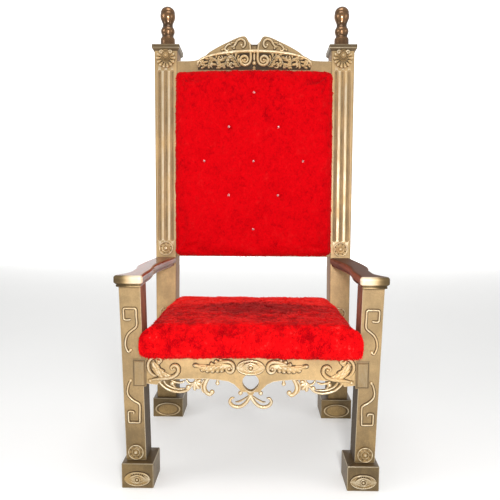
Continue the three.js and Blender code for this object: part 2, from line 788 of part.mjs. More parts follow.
function crestCarving() {
  const bar = (points, width, options) => strand(
    points.map(above), width * crestScale, crestCarvingRise, options);
  const arch = [...crestArch, ...crestArch.slice(0, -1).map(([x, rise]) => [-x, rise]).reverse()];
  const base = padTop + 6;
  const foot = 238 * crestScale;
  const lunette = outline([...arch.map(above), [-foot, base], [foot, base]]);
  const half = [
    bar([[22, 74], [18, 52], [14, 24], ...spiral(40, 3, 26, 7, 0, -1.25, 9)], 9, { start: 0.9, step: 15 }),
    bar([[60, 22], [84, 22], [104, 10], [98, -8], [82, -4]], 10, { step: 22 }),
    bar([[104, -30], [122, -12], [138, 10], [158, 10], [160, -8], [146, -10]], 10, { step: 22 }),
    bar([[160, -30], [178, -22], [192, -4], [208, 0], [212, -14], [200, -20]], 9, { step: 22 }),
    bar([[204, -36], [220, -26], [232, -12]], 8, { step: 22 }),
    crestBoss(118, 20, 26, 13, crestCarvingRise, { turn: 0.3, crown: 0 }),
    crestBoss(180, 12, 24, 12, crestCarvingRise, { turn: 0.5, crown: 0 }),
    crestBoss(124, -30, 22, 14, crestCarvingRise, { crown: 0 }),
    crestBoss(68, -28, 22, 14, crestCarvingRise, { turn: -0.6, crown: 0 }),
  ];
  const other = half.map((piece) => mirrored(piece));
  const middle = [
    bar(arch, 12, { start: 0.7, end: 0.7, step: 24 }),
    frontPlate(outline([[-15, 38], [15, 38], [17, 66], [-17, 66]].map(above)), crestCarvingRise, 3),
    ...[[-9, 36], [9, 36], [0, 34]].map(([x, rise]) => crestBoss(x, rise, 9, 9, crestCarvingRise + 4)),
    bar([[0, 30], [0, 0]], 11, { start: 1, end: 1, step: 16 }),
    crestBoss(0, -10, 18, 18, crestCarvingRise + 2),
  ];
  return joined([frontPlate(lunette, 3), ...half, ...other, ...middle]).translate(0, -gap, 0);
}
addPiece('crest_carving', crestCarving(), materials.gold, backPieces);

// Small scrolls with a leaf, applied on the crest above the arch
function crestSpray() {
  const bar = (points, width, options) => strand(
    points.map(above), width * crestScale, carvingRise * 0.7, options);
  return joined([
    bar([[54, 62], [45, 58], [38, 68], [43, 83], [58, 88], [72, 80], [80, 66], [92, 56]], 8),
    bar([[76, 72], [88, 62], [98, 68], [110, 62], [122, 50], [112, 44]], 8),
    crestBoss(54, 66, 16, 16, carvingRise * 0.7),
  ]).translate(0, -gap, 0);
}
for (const [name, side] of sides) {
  addPiece(`crest_spray_${name}`, onSide(side, crestSpray()), materials.gold, backPieces);
}

// Back pad with its nine buttons in a diamond
function backPad() {
  const [right, low, high] = [padWidth / 2, padBottom, padTop];
  const shape = new THREE.Shape();
  shape.moveTo(-right + padCorner, low);
  shape.lineTo(right - padCorner, low);
  shape.quadraticCurveTo(right, low, right, low + padCorner);
  shape.lineTo(right, high - padCorner);
  shape.quadraticCurveTo(right, high, right - padCorner, high);
  shape.quadraticCurveTo(0, high + padCrown, -right + padCorner, high);
  shape.quadraticCurveTo(-right, high, -right, high - padCorner);
  shape.lineTo(-right, low + padCorner);
  shape.quadraticCurveTo(-right, low, -right + padCorner, low);
  return frontPlate(shape, padThickness, padRounding).translate(0, -padClearance, 0);
}
addPiece('back_pad', backPad(), materials.plush, backPieces);

const buttonRows = [[0], [-1, 1], [-2, 0, 2], [-1, 1], [0]];
const buttonSpanX = padWidth * buttonShareX;
const buttonSpanZ = (padTop - padBottom) * buttonShareZ;
const buttonMiddle = (padTop + padBottom) / 2 + buttonLift;
let buttonNumber = 0;
buttonRows.forEach((row, line) => {
  row.forEach((column) => {
    buttonNumber += 1;
    const button = boss(column * buttonSpanX, buttonMiddle + (2 - line) * buttonSpanZ,
      2 * buttonRadius, 2 * buttonRadius, buttonRise)
      .translate(0, -padClearance - padThickness - gap, 0);
    addPiece(`back_button_${buttonNumber}`, button, materials.crystal, backPieces);
  });
});

// The origin is on the floor, midway between the front and the back of the whole throne
throne.updateMatrixWorld(true);
const extent = new THREE.Box3().setFromObject(throne, true);
throne.position.y = -(extent.min.y + extent.max.y) / 2;

export default throne;
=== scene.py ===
"""The looks of a tall carved armchair throne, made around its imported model.

Shapes are drawn in millimetres: x runs across, y runs back from the front of the legs, and z
is the height above the floor. A leaning piece is drawn upright, and turns back about the line
where the posts meet the seat. Every skin becomes metres in the shared frame when it is made.
"""

import math
from collections import namedtuple

import bpy
import numpy as np
from bpy.props import FloatProperty, FloatVectorProperty, IntProperty, PointerProperty
from mathutils import Matrix, Vector


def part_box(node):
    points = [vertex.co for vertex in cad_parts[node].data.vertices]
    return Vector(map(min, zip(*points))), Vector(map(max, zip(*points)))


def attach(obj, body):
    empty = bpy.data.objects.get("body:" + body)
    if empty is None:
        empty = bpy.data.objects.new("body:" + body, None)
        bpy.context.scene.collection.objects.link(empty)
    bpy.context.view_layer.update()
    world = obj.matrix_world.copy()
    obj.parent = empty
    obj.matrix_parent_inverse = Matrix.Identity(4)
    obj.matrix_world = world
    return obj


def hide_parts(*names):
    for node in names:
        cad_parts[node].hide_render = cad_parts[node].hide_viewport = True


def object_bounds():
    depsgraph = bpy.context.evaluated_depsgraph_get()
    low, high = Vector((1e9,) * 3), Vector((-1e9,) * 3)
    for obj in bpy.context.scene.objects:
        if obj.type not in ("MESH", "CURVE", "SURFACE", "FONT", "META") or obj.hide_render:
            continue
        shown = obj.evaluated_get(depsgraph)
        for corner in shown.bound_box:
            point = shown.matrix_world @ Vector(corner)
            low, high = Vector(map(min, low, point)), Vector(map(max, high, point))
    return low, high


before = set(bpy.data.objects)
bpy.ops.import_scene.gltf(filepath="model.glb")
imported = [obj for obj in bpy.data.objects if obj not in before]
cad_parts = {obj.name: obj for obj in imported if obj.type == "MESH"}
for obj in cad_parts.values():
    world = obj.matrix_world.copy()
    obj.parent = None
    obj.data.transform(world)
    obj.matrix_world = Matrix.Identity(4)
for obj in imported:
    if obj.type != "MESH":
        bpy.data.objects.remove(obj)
CAD_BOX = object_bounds()

bl_info = {
    "name": "Carved throne",
    "version": (1, 0, 0),
    "blender": (4, 5, 0),
    "location": "3D View > Sidebar > Throne",
    "description": "Dresses a carved and upholstered throne around its solid frame",
    "category": "Object",
}

# Places taken from the frame, in metres
LEG_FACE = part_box("front_leg_right")[0].y
FLOOR = CAD_BOX[0].z

# Sizes repeated from the solid model, in millimetres
GAP = 0.3
SIDE = 375
SEAT_DEPTH = 554
SEAT_HEIGHT = 434
LEAN = math.radians(2.4)
FOOT_HEIGHT = 84
FOOT_INSET = 8
FRONT_FOOT = (104, 114, 22)
REAR_FOOT = (131, 132, 16)
LEG_BOTTOM = FOOT_HEIGHT + GAP
LEG_TOP = 664.7
LEG_WIDTHS = (66, 71)
LEG_SPLAY = 15
LEG_DEPTH = 80
POST_SEAT, POST_TOP, POST_DEPTH, POST_HEIGHT = 84, 97, 100, 1577
FLUTE_WIDTH, FLUTE_DEPTH, FLUTE_SPACING = 17, 6, 27
FLUTE_BOTTOM = 770
SHELL_RADIUS = 46
SHELL_CENTRE = POST_HEIGHT - SHELL_RADIUS * 0.55
FLUTE_TOP = SHELL_CENTRE - SHELL_RADIUS - FLUTE_WIDTH / 2
CAP_WIDTH, CAP_CHAMFER, CAP_FASCIA = 117, 10, 16
FINIAL_HEIGHT, FINIAL_RADIUS = 176, 32.5
ARM_TOP, ARM_UPPER, ARM_LOWER, ARM_NOSE = 702, 27, 10, 34
ARM_HALF = 48
JOINT_WIDTH, JOINT_HEIGHT, JOINT_RISE, JOINT_DROP = 44, 90, 10, 8
APRON_RECESS, APRON_THICKNESS, FRET_RISE = 2, 22, 12
CREST_BOTTOM, CREST_SHOULDER, CREST_THICKNESS = 1440, 1535, 36
PAD_FRONT = 38.4
PAD_BOTTOM, PAD_TOP = 706, 1492
PAD_WIDTH = 654
BUTTON_SPAN_X = PAD_WIDTH * 0.159
BUTTON_SPAN_Z = (PAD_TOP - PAD_BOTTOM) * 0.182
BUTTON_MIDDLE = 1110
BUTTON_ROWS = [[0], [-1, 1], [-2, 0, 2], [-1, 1], [0]]

# Left and right as seen from the front, with the sign of x
SIDES = (("left", -1), ("right", 1))

# Width of the strip where a rounded edge's rub fades out, in millimetres
MARGIN = 4
# A softened edge on the solids that are kept, in metres
SOFT_EDGE = 0.0015
# Corners of a solid's faces that are nearer to each other than this become one, in metres
WELD = 1e-5

Skin = namedtuple("Skin", "points quads triangles relief")


# Settings that a user may change

class ThroneSizes(bpy.types.PropertyGroup):
    """Sizes of the finish"""
    edge: FloatProperty(name="Edge radius", description="Rounding of the blocks and posts",
                        default=0.0025, min=0.0005, max=0.006, unit="LENGTH")
    bead: FloatProperty(name="Bead rise", description="Height of the raised strands on the legs",
                        default=0.0045, min=0.002, max=0.006, unit="LENGTH")
    carving: FloatProperty(name="Carving rise", description="Height of the applied carvings", default=0.009,
                           min=0.004, max=0.012, unit="LENGTH")
    pile: FloatProperty(name="Pile height", description="How far the crushed pile stands up", default=0.0040,
                        min=0.0, max=0.006, unit="LENGTH")
    swell: FloatProperty(name="Cushion swell", description="How far the stuffing may push the cloth out",
                         default=0.011, min=0.0, max=0.02, unit="LENGTH")
    tuft: FloatProperty(name="Tuft depth", description="How deep the buttons pull the back pad in",
                        default=0.011, min=0.0, max=0.02, unit="LENGTH")
    frames: IntProperty(name="Settling frames", description="Frames that the stuffed cloth settles for",
                        default=20, min=5, max=40)


class ThroneColours(bpy.types.PropertyGroup):
    """Colours of the finish"""
    gold: FloatVectorProperty(name="Gold", description="Lit gold paint", subtype="COLOR", size=3,
                              default=(0.62, 0.415, 0.19), min=0, max=1)
    # Pale gold of wear on crests and edges, which also serves as a painted highlight there
    rubbed_and_highlight: FloatVectorProperty(name="Rubbed gold", description="Bright worn crests of the carving",
                                subtype="COLOR", size=3, default=(0.92, 0.80, 0.58), min=0, max=1)
    # Dark glaze in the hollows, which also serves as painted shade there
    glaze_and_shade: FloatVectorProperty(name="Recess", description="Dark glaze left in the recesses", subtype="COLOR",
                                size=3, default=(0.045, 0.026, 0.012), min=0, max=1)
    mahogany: FloatVectorProperty(name="Mahogany", description="Polished arms", subtype="COLOR", size=3,
                                  default=(0.20, 0.058, 0.022), min=0, max=1)
    timber: FloatVectorProperty(name="Timber", description="Stained boards behind and below", subtype="COLOR",
                                size=3, default=(0.10, 0.055, 0.03), min=0, max=1)
    brass: FloatVectorProperty(name="Aged brass", description="Finials", subtype="COLOR", size=3,
                               default=(0.26, 0.135, 0.058), min=0, max=1)
    plush: FloatVectorProperty(name="Plush", description="Pile that faces the light", subtype="COLOR", size=3,
                               default=(0.72, 0.001, 0.004), min=0, max=1)
    shade: FloatVectorProperty(name="Crushed plush", description="Pile that is brushed away", subtype="COLOR",
                               size=3, default=(0.34, 0.0, 0.003), min=0, max=1)


# Curves and skins worked out with numpy

def smooth_path(points, step=3.0):
    """A Catmull-Rom curve through the points, sampled at even steps along its length."""
    given = np.asarray(points, float)
    padded = np.concatenate([given[:1], given, given[-1:]])
    share = np.linspace(0, 1, 16, endpoint=False)[None, :, None]
    a, b, c, d = padded[:-3, None], padded[1:-2, None], padded[2:-1, None], padded[3:, None]
    curve = 0.5 * (2 * b + (c - a) * share + (2 * a - 5 * b + 4 * c - d) * share ** 2
                   + (3 * b - a - 3 * c + d) * share ** 3)
    curve = np.concatenate([curve.reshape(-1, given.shape[1]), given[-1:]])
    return even_path(curve, step)


def even_path(curve, step):
    """The same line with its points at equal distances along it."""
    travelled = np.concatenate([[0], np.cumsum(np.linalg.norm(np.diff(curve, axis=0), axis=1))])
    count = max(6, int(round(travelled[-1] / step)) + 1)
    places = np.linspace(0, travelled[-1], count)
    return np.stack([np.interp(places, travelled, curve[:, k]) for k in range(curve.shape[1])], axis=1)


def spiral(x, z, outer, inner, start, turns, count=14):
    """Points on a spiral whose radius shrinks evenly from outer to inner, angles in turns."""
    share = np.linspace(0, 1, count)
    angle = 2 * np.pi * (start + turns * share)
    radius = outer + (inner - outer) * share
    return np.stack([x + radius * np.cos(angle), z + radius * np.sin(angle)], axis=1).tolist()


def loft(rings, relief, ends=True):
    """Closed rings of equal length joined into one skin, with a fan to the middle of each end ring
    unless the rings close up by themselves."""
    rings = np.asarray(rings, float)
    rows, around = rings.shape[:2]
    index = np.arange(rows * around).reshape(rows, around)
    following = np.roll(index, -1, axis=1)
    quads = np.stack([index[:-1], following[:-1], following[1:], index[1:]], axis=-1).reshape(-1, 4)
    tone = np.broadcast_to(relief, (rows, around))
    if not ends:
        return Skin(rings.reshape(-1, 3), quads, np.zeros((0, 3), int), tone.ravel())
    middles = np.stack([rings[0].mean(axis=0), rings[-1].mean(axis=0)])
    first, last = rows * around, rows * around + 1
    triangles = np.concatenate([
        np.stack([np.full(around, first), following[0], index[0]], axis=-1),
        np.stack([np.full(around, last), index[-1], following[-1]], axis=-1),
    ])
    tones = np.concatenate([tone.ravel(), [tone[0].mean(), tone[-1].mean()]])
    return Skin(np.concatenate([rings.reshape(-1, 3), middles]), quads, triangles, tones)


def outward(skin):
    """Turns the faces over where the volume that they enclose comes out negative."""
    faces = np.concatenate([skin.quads[:, [0, 1, 2]], skin.quads[:, [0, 2, 3]], skin.triangles])
    a, b, c = (skin.points[faces[:, k]] for k in range(3))
    if np.einsum("ij,ij->i", a, np.cross(b, c)).sum() >= 0:
        return skin
    return skin._replace(quads=skin.quads[:, ::-1], triangles=skin.triangles[:, ::-1])


def moved(skin, x=0.0, y=0.0, z=0.0):
    """The skin shifted by x, y and z."""
    return skin._replace(points=skin.points + np.array([x, y, z]))


def turned_about(skin, angle):
    """The skin turned about the y axis, so that it swings in the plane of the front."""
    cos, sin = math.cos(angle), math.sin(angle)
    turn = np.array([[cos, 0, sin], [0, 1, 0], [-sin, 0, cos]])
    return skin._replace(points=skin.points @ turn.T)


def on_side(side, skins):
    """The skins as drawn for the right, or their mirror image for the left."""
    return [skin._replace(points=skin.points * np.array([side, 1, 1])) for skin in skins]


def bead(points, width, rise, start=0.5, end=0.5, skirt=0.0, hollow=0.0, free=False, step=3.0):
    """A strand of relief: a half-round section carried along a flat curve seen from the front.

    The section is width * cos(a) / 2 across and rise * sin(a) forwards. A skirt adds a thin flange on both
    sides in the darkest tone, an outline of glaze and painted shade; hollow cuts a groove along the crest,
    and a free strand is round behind too.
    """
    path = smooth_path(points, step)
    heading = np.gradient(path, axis=0)
    heading /= np.linalg.norm(heading, axis=1, keepdims=True)
    along = np.linspace(0, 1, len(path))
    length = np.linalg.norm(np.diff(path, axis=0), axis=1).sum()
    near = np.minimum(along, 1 - along) * length / (width * 0.5)
    swell = np.minimum(1, np.minimum(start + (1 - start) * 4 * along, end + (1 - end) * 4 * (1 - along)))
    swell = swell * np.sqrt(np.clip(near * 0.9 + 0.1, 0.05, 1))
    if free:
        angle = np.linspace(0, 2 * np.pi, 16, endpoint=False)
        across, height = np.cos(angle) * width / 2, (np.sin(angle) + 1) * rise / 2
        tone = ((np.sin(angle) + 1) / 2) ** 1.8
    else:
        angle = np.linspace(np.pi, 0, 13)
        across, height = np.cos(angle) * width / 2, np.sin(angle) ** 0.8 * rise
        height = height - hollow * rise * np.exp(-((angle - np.pi / 2) / 0.3) ** 2)
        tone = np.sin(angle) - 1.2 * hollow * np.exp(-((angle - np.pi / 2) / 0.25) ** 2)
        if skirt:
            edge = width / 2 + skirt
            across = np.concatenate([[-edge, -edge], across, [edge, edge]])
            height = np.concatenate([[0, 0.5], np.maximum(height, 0.5), [0.5, 0]])
            tone = np.concatenate([[0, 0], tone, [0, 0]])
    side = np.stack([-heading[:, 1], heading[:, 0]], axis=1)
    spread = across[None, :] * swell[:, None]
    rings = np.stack([
        path[:, None, 0] + side[:, None, 0] * spread,
        -height[None, :] * np.sqrt(swell)[:, None],
        path[:, None, 1] + side[:, None, 1] * spread,
    ], axis=-1)
    return loft(rings, tone[None, :])


def leaf(points, width, rise, lobes=3, step=2.0):
    """A carved leaf along a curve. Its half width swells as a sine and is notched by its lobes, it is
    raised in two rounded halves, and a vein is cut along the middle and between the lobes."""
    path = smooth_path(points, step)
    heading = np.gradient(path, axis=0)
    heading /= np.linalg.norm(heading, axis=1, keepdims=True)
    along = np.linspace(0, 1, len(path))
    body = np.sin(np.pi * np.clip(along, 0.02, 0.99) ** 0.75) ** 0.7
    notch = 0.5 + 0.5 * np.cos(2 * np.pi * (lobes * along + 0.5))
    half = width / 2 * body * (0.72 + 0.28 * notch)
    across = np.linspace(-1, 1, 15)
    vein = np.exp(-(across / 0.14) ** 2)
    skew = 0.5 + 0.5 * np.cos(2 * np.pi * (lobes * along[:, None] + 0.5 + 0.35 * np.abs(across)[None, :]))
    dome = np.sqrt(np.clip(1 - across ** 2, 0, 1))[None, :]
    height = rise * dome * (0.62 + 0.38 * skew) * (1 - 0.4 * vein)[None, :] * body[:, None] ** 0.5
    tone = np.clip(dome * (0.25 + 0.85 * skew) - 0.55 * vein[None, :], 0, 1)
    side = np.stack([-heading[:, 1], heading[:, 0]], axis=1)
    spread = across[None, :] * half[:, None]
    rings = np.stack([
        path[:, None, 0] + side[:, None, 0] * spread,
        -height,
        path[:, None, 1] + side[:, None, 1] * spread,
    ], axis=-1)
    return loft(rings, tone)


def crests(heights):
    """From 0 in the hollows of a profile to 1 on its ridges, by comparing each point with its neighbours."""
    padded = np.pad(np.asarray(heights, float), 2, mode="edge")
    around = (padded[:-4] + padded[1:-3] + padded[3:-1] + padded[4:]) / 4
    spread = max(1e-6, np.ptp(heights))
    return np.clip(0.55 + 3.0 * (np.asarray(heights) - around) / spread, 0, 1)


def turned(profile, segments=40, lobes=0, depth=0.0, tones=None):
    """A turned moulding with its axis to the front: radius against rise. With lobes, the radius between
    the middle and the rim swells and shrinks that many times round the circle."""
    shape = np.asarray(profile, float)
    angle = np.linspace(0, 2 * np.pi, segments, endpoint=False)
    radius = shape[:, :1] * np.ones_like(angle)[None, :]
    rise = shape[:, 1:2] * np.ones_like(angle)[None, :]
    tone = (crests(shape[:, 1]) if tones is None else np.asarray(tones, float))[:, None]
    tone = tone * np.ones_like(angle)[None, :]
    if lobes:
        share = shape[:, :1] / shape[:, 0].max()
        weight = np.clip(1 - ((share - 0.72) / 0.2) ** 2, 0, 1)
        wave = np.abs(np.cos(lobes * angle / 2))[None, :]
        rise = rise - depth * weight * (1 - wave)
        tone = tone - 0.5 * weight * (1 - wave) ** 2
    rings = np.stack([radius * np.cos(angle), -rise, radius * np.sin(angle)], axis=-1)
    return loft(rings, np.clip(tone, 0, 1))


def dome(x, z, width, height, rise, turn=0.0, rim=0.0):
    """A round or oval boss, flat behind, whose section is a quarter ellipse over an optional rim."""
    angle = np.linspace(0, np.pi / 2, 8)
    radius = np.concatenate([[0.001, 1, 1], np.cos(angle)[1:-1], [0.001]])
    lift = np.concatenate([[0, 0, rim], rim + (1 - rim) * np.sin(angle)[1:-1], [1]])
    shape = np.stack([radius, lift], axis=1)
    tones = np.concatenate([[0, 0, 0.1], np.sin(angle)[1:]])
    skin = turned(shape, 24, tones=tones)
    skin = skin._replace(points=skin.points * np.array([width / 2, rise, height / 2]))
    return moved(turned_about(skin, turn), x, 0, z)


def ball(x, z, size, depth):
    """A free ball: a sphere that stands on the middle plane of the fretwork."""
    polar = np.linspace(0.03, np.pi - 0.03, 14)
    angle = np.linspace(0, 2 * np.pi, 22, endpoint=False)
    rings = np.stack([
        x + size / 2 * np.sin(polar)[:, None] * np.cos(angle)[None, :],
        -depth / 2 - depth / 2 * np.cos(polar)[:, None] * np.ones_like(angle)[None, :],
        z + size / 2 * np.sin(polar)[:, None] * np.sin(angle)[None, :],
    ], axis=-1)
    return loft(rings, (0.15 + 0.85 * (1 + np.cos(polar)) / 2)[:, None])


def rounded_ring(half_x, half_y, radius):
    """A rectangle with round corners, and a point past each end of each arc, as x, y and edge tone."""
    arc = np.linspace(0, np.pi / 2, 5)
    centre_x, centre_y = half_x - radius, half_y - radius
    corner = np.stack([centre_x + radius * np.cos(arc), centre_y + radius * np.sin(arc)], axis=1)
    margin = min(5.0, (min(half_x, half_y) - radius) * 0.5)
    before = [[half_x, centre_y - margin]]
    after = [[centre_x - margin, half_y]]
    quarter = np.concatenate([before, corner, after])
    tone = np.array([0.5, 0.75, 1, 1, 1, 0.75, 0.5])
    flip = np.array([[1, 1], [-1, 1], [-1, -1], [1, -1]])
    parts = [quarter * flip[k] if k % 2 == 0 else (quarter * flip[k])[::-1] for k in range(4)]
    return np.concatenate(parts), np.tile(tone, 4)


def block(low, high, radius):
    """A box between two corners whose edges are all rounded by the radius."""
    low, high = np.asarray(low, float), np.asarray(high, float)
    middle, half = (low + high) / 2, (high - low) / 2
    arc = np.linspace(0, np.pi / 2, 5)
    inset = np.concatenate([radius * (1 - np.sin(arc)), [0, 0], radius * (1 - np.cos(arc))])
    upper = 2 * half[2] - radius
    height = np.concatenate([
        radius * (1 - np.cos(arc)), [radius + MARGIN, upper - MARGIN], upper + radius * np.sin(arc),
    ])
    shrink = np.concatenate([[0.001], np.ones(len(inset)), [0.001]])
    inset = np.concatenate([[radius], inset, [radius]])
    height = np.concatenate([[0], height, [2 * half[2]]])
    edge = np.array([0.5, 0.8, 1, 1, 1, 0.8, 0, 0, 0.8, 1, 1, 1, 0.8, 0.5])[:, None]
    ring, tone = rounded_ring(half[0], half[1], radius)
    scale_x = (half[0] - inset) / half[0] * shrink
    scale_y = (half[1] - inset) / half[1] * shrink
    rings = np.stack([
        middle[0] + ring[None, :, 0] * scale_x[:, None],
        middle[1] + ring[None, :, 1] * scale_y[:, None],
        np.broadcast_to(low[2] + height[:, None], (len(height), len(ring))),
    ], axis=-1)
    # The corners of the plan show only where no rounded edge runs across them
    return loft(rings, np.maximum(tone[None, :] * (edge < 0.6), edge))


def lattice_noise(points, size, seed):
    """Smooth noise from -1 to 1: hashed values at the corners of cubes of one size, blended inside."""
    scaled = points / size + seed * 17.31
    cell = np.floor(scaled).astype(np.int64)
    part = scaled - cell
    part = part * part * (3 - 2 * part)
    total = np.zeros(len(points))
    for corner in range(8):
        offset = np.array([(corner >> k) & 1 for k in range(3)])
        place = cell + offset
        mixed = (place[:, 0] * 73856093) ^ (place[:, 1] * 19349663) ^ (place[:, 2] * 83492791)
        mixed = mixed ^ (seed * 2654435)
        mixed = (mixed ^ (mixed >> 13)) * 1274126177
        value = ((mixed ^ (mixed >> 16)) & 0xFFFF) / 32767.5 - 1
        weight = np.where(offset == 1, part, 1 - part).prod(axis=1)
        total += value * weight
    return total


# Shader maths written as expressions

class Field:
    """A value in a material's node tree that can be added, taken away, multiplied and compared."""

    def __init__(self, tree, socket):
        self.tree = tree
        self.socket = socket

    def maths(self, operation, *others):
        node = self.tree.nodes.new("ShaderNodeMath")
        node.operation = operation
        for slot, value in zip(node.inputs, (self, *others)):
            put(self.tree, slot, value)
        return Field(self.tree, node.outputs[0])

    def __add__(self, other):
        return self.maths("ADD", other)

    __radd__ = __add__

    def __mul__(self, other):
        return self.maths("MULTIPLY", other)

    __rmul__ = __mul__

    def __sub__(self, other):
        return self.maths("SUBTRACT", other)

    def __rsub__(self, other):
        return (self * -1.0) + other

    def power(self, other):
        return self.maths("POWER", other)

    def step(self, low, high):
        """From 0 below low to 1 above high, with a smooth rise between."""
        node = self.tree.nodes.new("ShaderNodeMapRange")
        node.interpolation_type = "SMOOTHSTEP"
        for slot, value in zip(node.inputs, (self, low, high, 0.0, 1.0)):
            put(self.tree, slot, value)
        return Field(self.tree, node.outputs[0])


def put(tree, slot, value):
    """Links a field or a socket to a slot, or sets a number or a colour on it."""
    if isinstance(value, Field):
        tree.links.new(value.socket, slot)
    elif isinstance(value, bpy.types.NodeSocket):
        tree.links.new(value, slot)
    elif hasattr(value, "__len__"):
        slot.default_value = (*value, 1.0)[:len(slot.default_value)]
    else:
        slot.default_value = value


class Finish:
    """A material, with one method for any node and the pieces that most finishes share."""

    def __init__(self, name, **constants):
        self.material = bpy.data.materials.new(name)
        self.material.use_nodes = True
        self.tree = self.material.node_tree
        self.shader = self.tree.nodes["Principled BSDF"]
        place = self.node("ShaderNodeTexCoord")
        self.coordinates = place.outputs["Object"]
        for slot, value in constants.items():
            put(self.tree, self.shader.inputs[slot.replace("_", " ")], value)

    def node(self, kind, settings=None, inputs=None):
        made = self.tree.nodes.new(kind)
        for name, value in (settings or {}).items():
            setattr(made, name, value)
        for name, value in (inputs or {}).items():
            put(self.tree, made.inputs[name], value)
        return made

    def noise(self, scale, detail=4.0, roughness=0.6, stretch=None, distortion=0.0):
        place = self.coordinates
        if stretch:
            place = self.node("ShaderNodeMapping", None, {"Vector": place, "Scale": stretch}).outputs[0]
        values = {"Vector": place, "Scale": scale, "Detail": detail, "Roughness": roughness,
                  "Distortion": distortion}
        made = self.node("ShaderNodeTexNoise", None, values)
        return Field(self.tree, made.outputs[0])

    def attribute(self, name):
        return Field(self.tree, self.node("ShaderNodeAttribute", {"attribute_name": name}).outputs["Fac"])

    def axis(self, name):
        parts = self.node("ShaderNodeSeparateXYZ", None, {"Vector": self.coordinates})
        return Field(self.tree, parts.outputs[name])

    def mix(self, factor, first, second):
        made = self.node("ShaderNodeMix", {"data_type": "RGBA"}, {0: factor, 6: first, 7: second})
        return made.outputs[2]

    def bump(self, height, strength, distance, normal=None):
        values = {"Height": height, "Strength": strength, "Distance": distance}
        if normal is not None:
            values["Normal"] = normal
        return self.node("ShaderNodeBump", None, values).outputs[0]

    def set(self, slot, value):
        put(self.tree, self.shader.inputs[slot], value)


# Colours that no setting changes
# Dark brown painted on sideways faces below the seat as shade
SHADED_SIDE_BROWN = (0.075, 0.052, 0.03)
# Darker lacquer on the right arm's tops: worn lacquer and painted shade
DULL_SHADED_LACQUER = (0.1, 0.052, 0.032)
LIT_PLUSH = (1.0, 0.014, 0.01)
PLUSH_GLINT = (1.0, 0.11, 0.09)
WHITE = (1.0, 1.0, 1.0, 1.0)


def shaded(colour, factor):
    """The colour multiplied by a number."""
    return tuple(channel * factor for channel in colour)


def gold_finish(name, colours, carved, level=1.0, sides=0.0):
    """Gold paint over a brown glaze, mottled. Crests and edges wear to a pale gold that also serves as a
    painted highlight, and hollows are dark with glaze and painted shade. Level darkens the whole copy, partly
    for age and partly as painted shade for parts that get less light. Towards the floor the paint turns
    browner with age and darker as painted shade, and faces that look up near the floor are painted dark as
    shade. Sides is how much of the faces that look sideways are wood instead of gold: mahogany above the
    seat, partly its own colour and partly painted shade, and below the seat a dark brown that is painted
    shade."""
    finish = Finish(name)
    blotch = finish.noise(9.0, 5.0, 0.62)
    streak = finish.noise(30.0, 6.0, 0.7, stretch=(1.5, 1.5, 0.5), distortion=0.3)
    speck = finish.noise(260.0, 4.0, 0.75)
    raised = finish.attribute("relief") if carved else 0.6 + (blotch - 0.5) * 0.2
    # Low relief takes the dark glaze colour, which is also painted shade in the hollows; high relief takes
    # the pale colour of wear, which is also a painted highlight on the crests
    glaze_and_shade = (raised + (streak - 0.5) * 0.3 + (speck - 0.5) * 0.4).step(0.0, 0.42)
    crest_rub_and_highlight = (raised + (streak - 0.5) * 0.5 + (blotch - 0.5) * 0.4).step(0.76, 1.1)
    stain = (blotch * 0.6 + streak * 0.25 + speck * 0.3).step(0.68, 0.42)
    # Below this height the paint is browned by age and darkened as painted shade
    high = finish.axis("Z").step(0.05, 0.42)
    clean = finish.mix(stain, shaded(colours.gold, 0.68 * level), shaded(colours.gold, 1.05 * level))
    brown = (colours.gold[0], colours.gold[1] * 0.96, colours.gold[2] * 0.78)
    aged_and_shaded_low = finish.mix(stain, shaded(brown, 0.32 * level), shaded(brown, 0.64 * level))
    lit = finish.mix(high, aged_and_shaded_low, clean)
    lit = finish.mix(crest_rub_and_highlight * (0.8 * level), lit, shaded(colours.rubbed_and_highlight, 0.6 + 0.4 * level))
    colour = finish.mix(glaze_and_shade, tuple(colours.glaze_and_shade), lit)
    # Painted shade on the faces that look up near the floor
    shaded_low_tops = finish.attribute("upward").step(0.8, 0.98) * (1.0 - high)
    colour = finish.mix(shaded_low_tops * 0.62, colour, shaded(colours.glaze_and_shade, 1.6))
    metal = glaze_and_shade * 0.25 + crest_rub_and_highlight * 0.3
    roughness = 0.85 - glaze_and_shade * 0.42 - crest_rub_and_highlight * 0.15 + (speck - 0.5) * 0.2
    # Sideways faces take wood colours: mahogany above the seat, partly its own colour and partly painted
    # shade, and below the seat a dark brown that is painted shade
    if sides:
        sideways = finish.attribute("sideways").step(0.72, 0.95) * sides
        dark, light = shaded(colours.mahogany, 0.55), shaded(colours.mahogany, 1.5)
        upper = finish.axis("Z").step(0.42, 0.5)
        wood = finish.mix(upper, SHADED_SIDE_BROWN, finish.mix(streak.step(0.3, 0.7), dark, light))
        colour = finish.mix(sideways, colour, wood)
        metal = metal * (1.0 - sideways)
        roughness = roughness + sideways * 0.3
    finish.set("Base Color", colour)
    finish.set("Metallic", metal)
    finish.set("Roughness", roughness)
    grain = finish.bump(streak, 0.2, 0.002)
    finish.set("Normal", finish.bump(speck, 0.22, 0.0012, grain))
    return finish.material


def brass_finish(colours):
    """Aged brass, polished where hands reach it and browned by lacquer."""
    finish = Finish("aged_brass", Coat_Weight=0.5, Coat_Roughness=0.12)
    blotch = finish.noise(28.0, 5.0, 0.6)
    raised = finish.attribute("relief")
    tone = (raised + (blotch - 0.5) * 0.9).step(0.1, 1.0)
    finish.set("Base Color", finish.mix(tone, shaded(colours.brass, 0.22), shaded(colours.brass, 1.25)))
    finish.set("Metallic", 0.85)
    finish.set("Roughness", 0.34 - tone * 0.12)
    finish.set("Normal", finish.bump(finish.noise(180.0), 0.12, 0.001))
    return finish.material


def wood_grain(finish, across=46.0):
    """Long fibres: noise squeezed along the length of the piece, front to back."""
    fibre = finish.noise(across, 7.0, 0.7, stretch=(1.0, 0.07, 1.0), distortion=0.6)
    pores = finish.noise(across * 9, 3.0, 0.6, stretch=(1.0, 0.05, 1.0))
    return fibre, pores


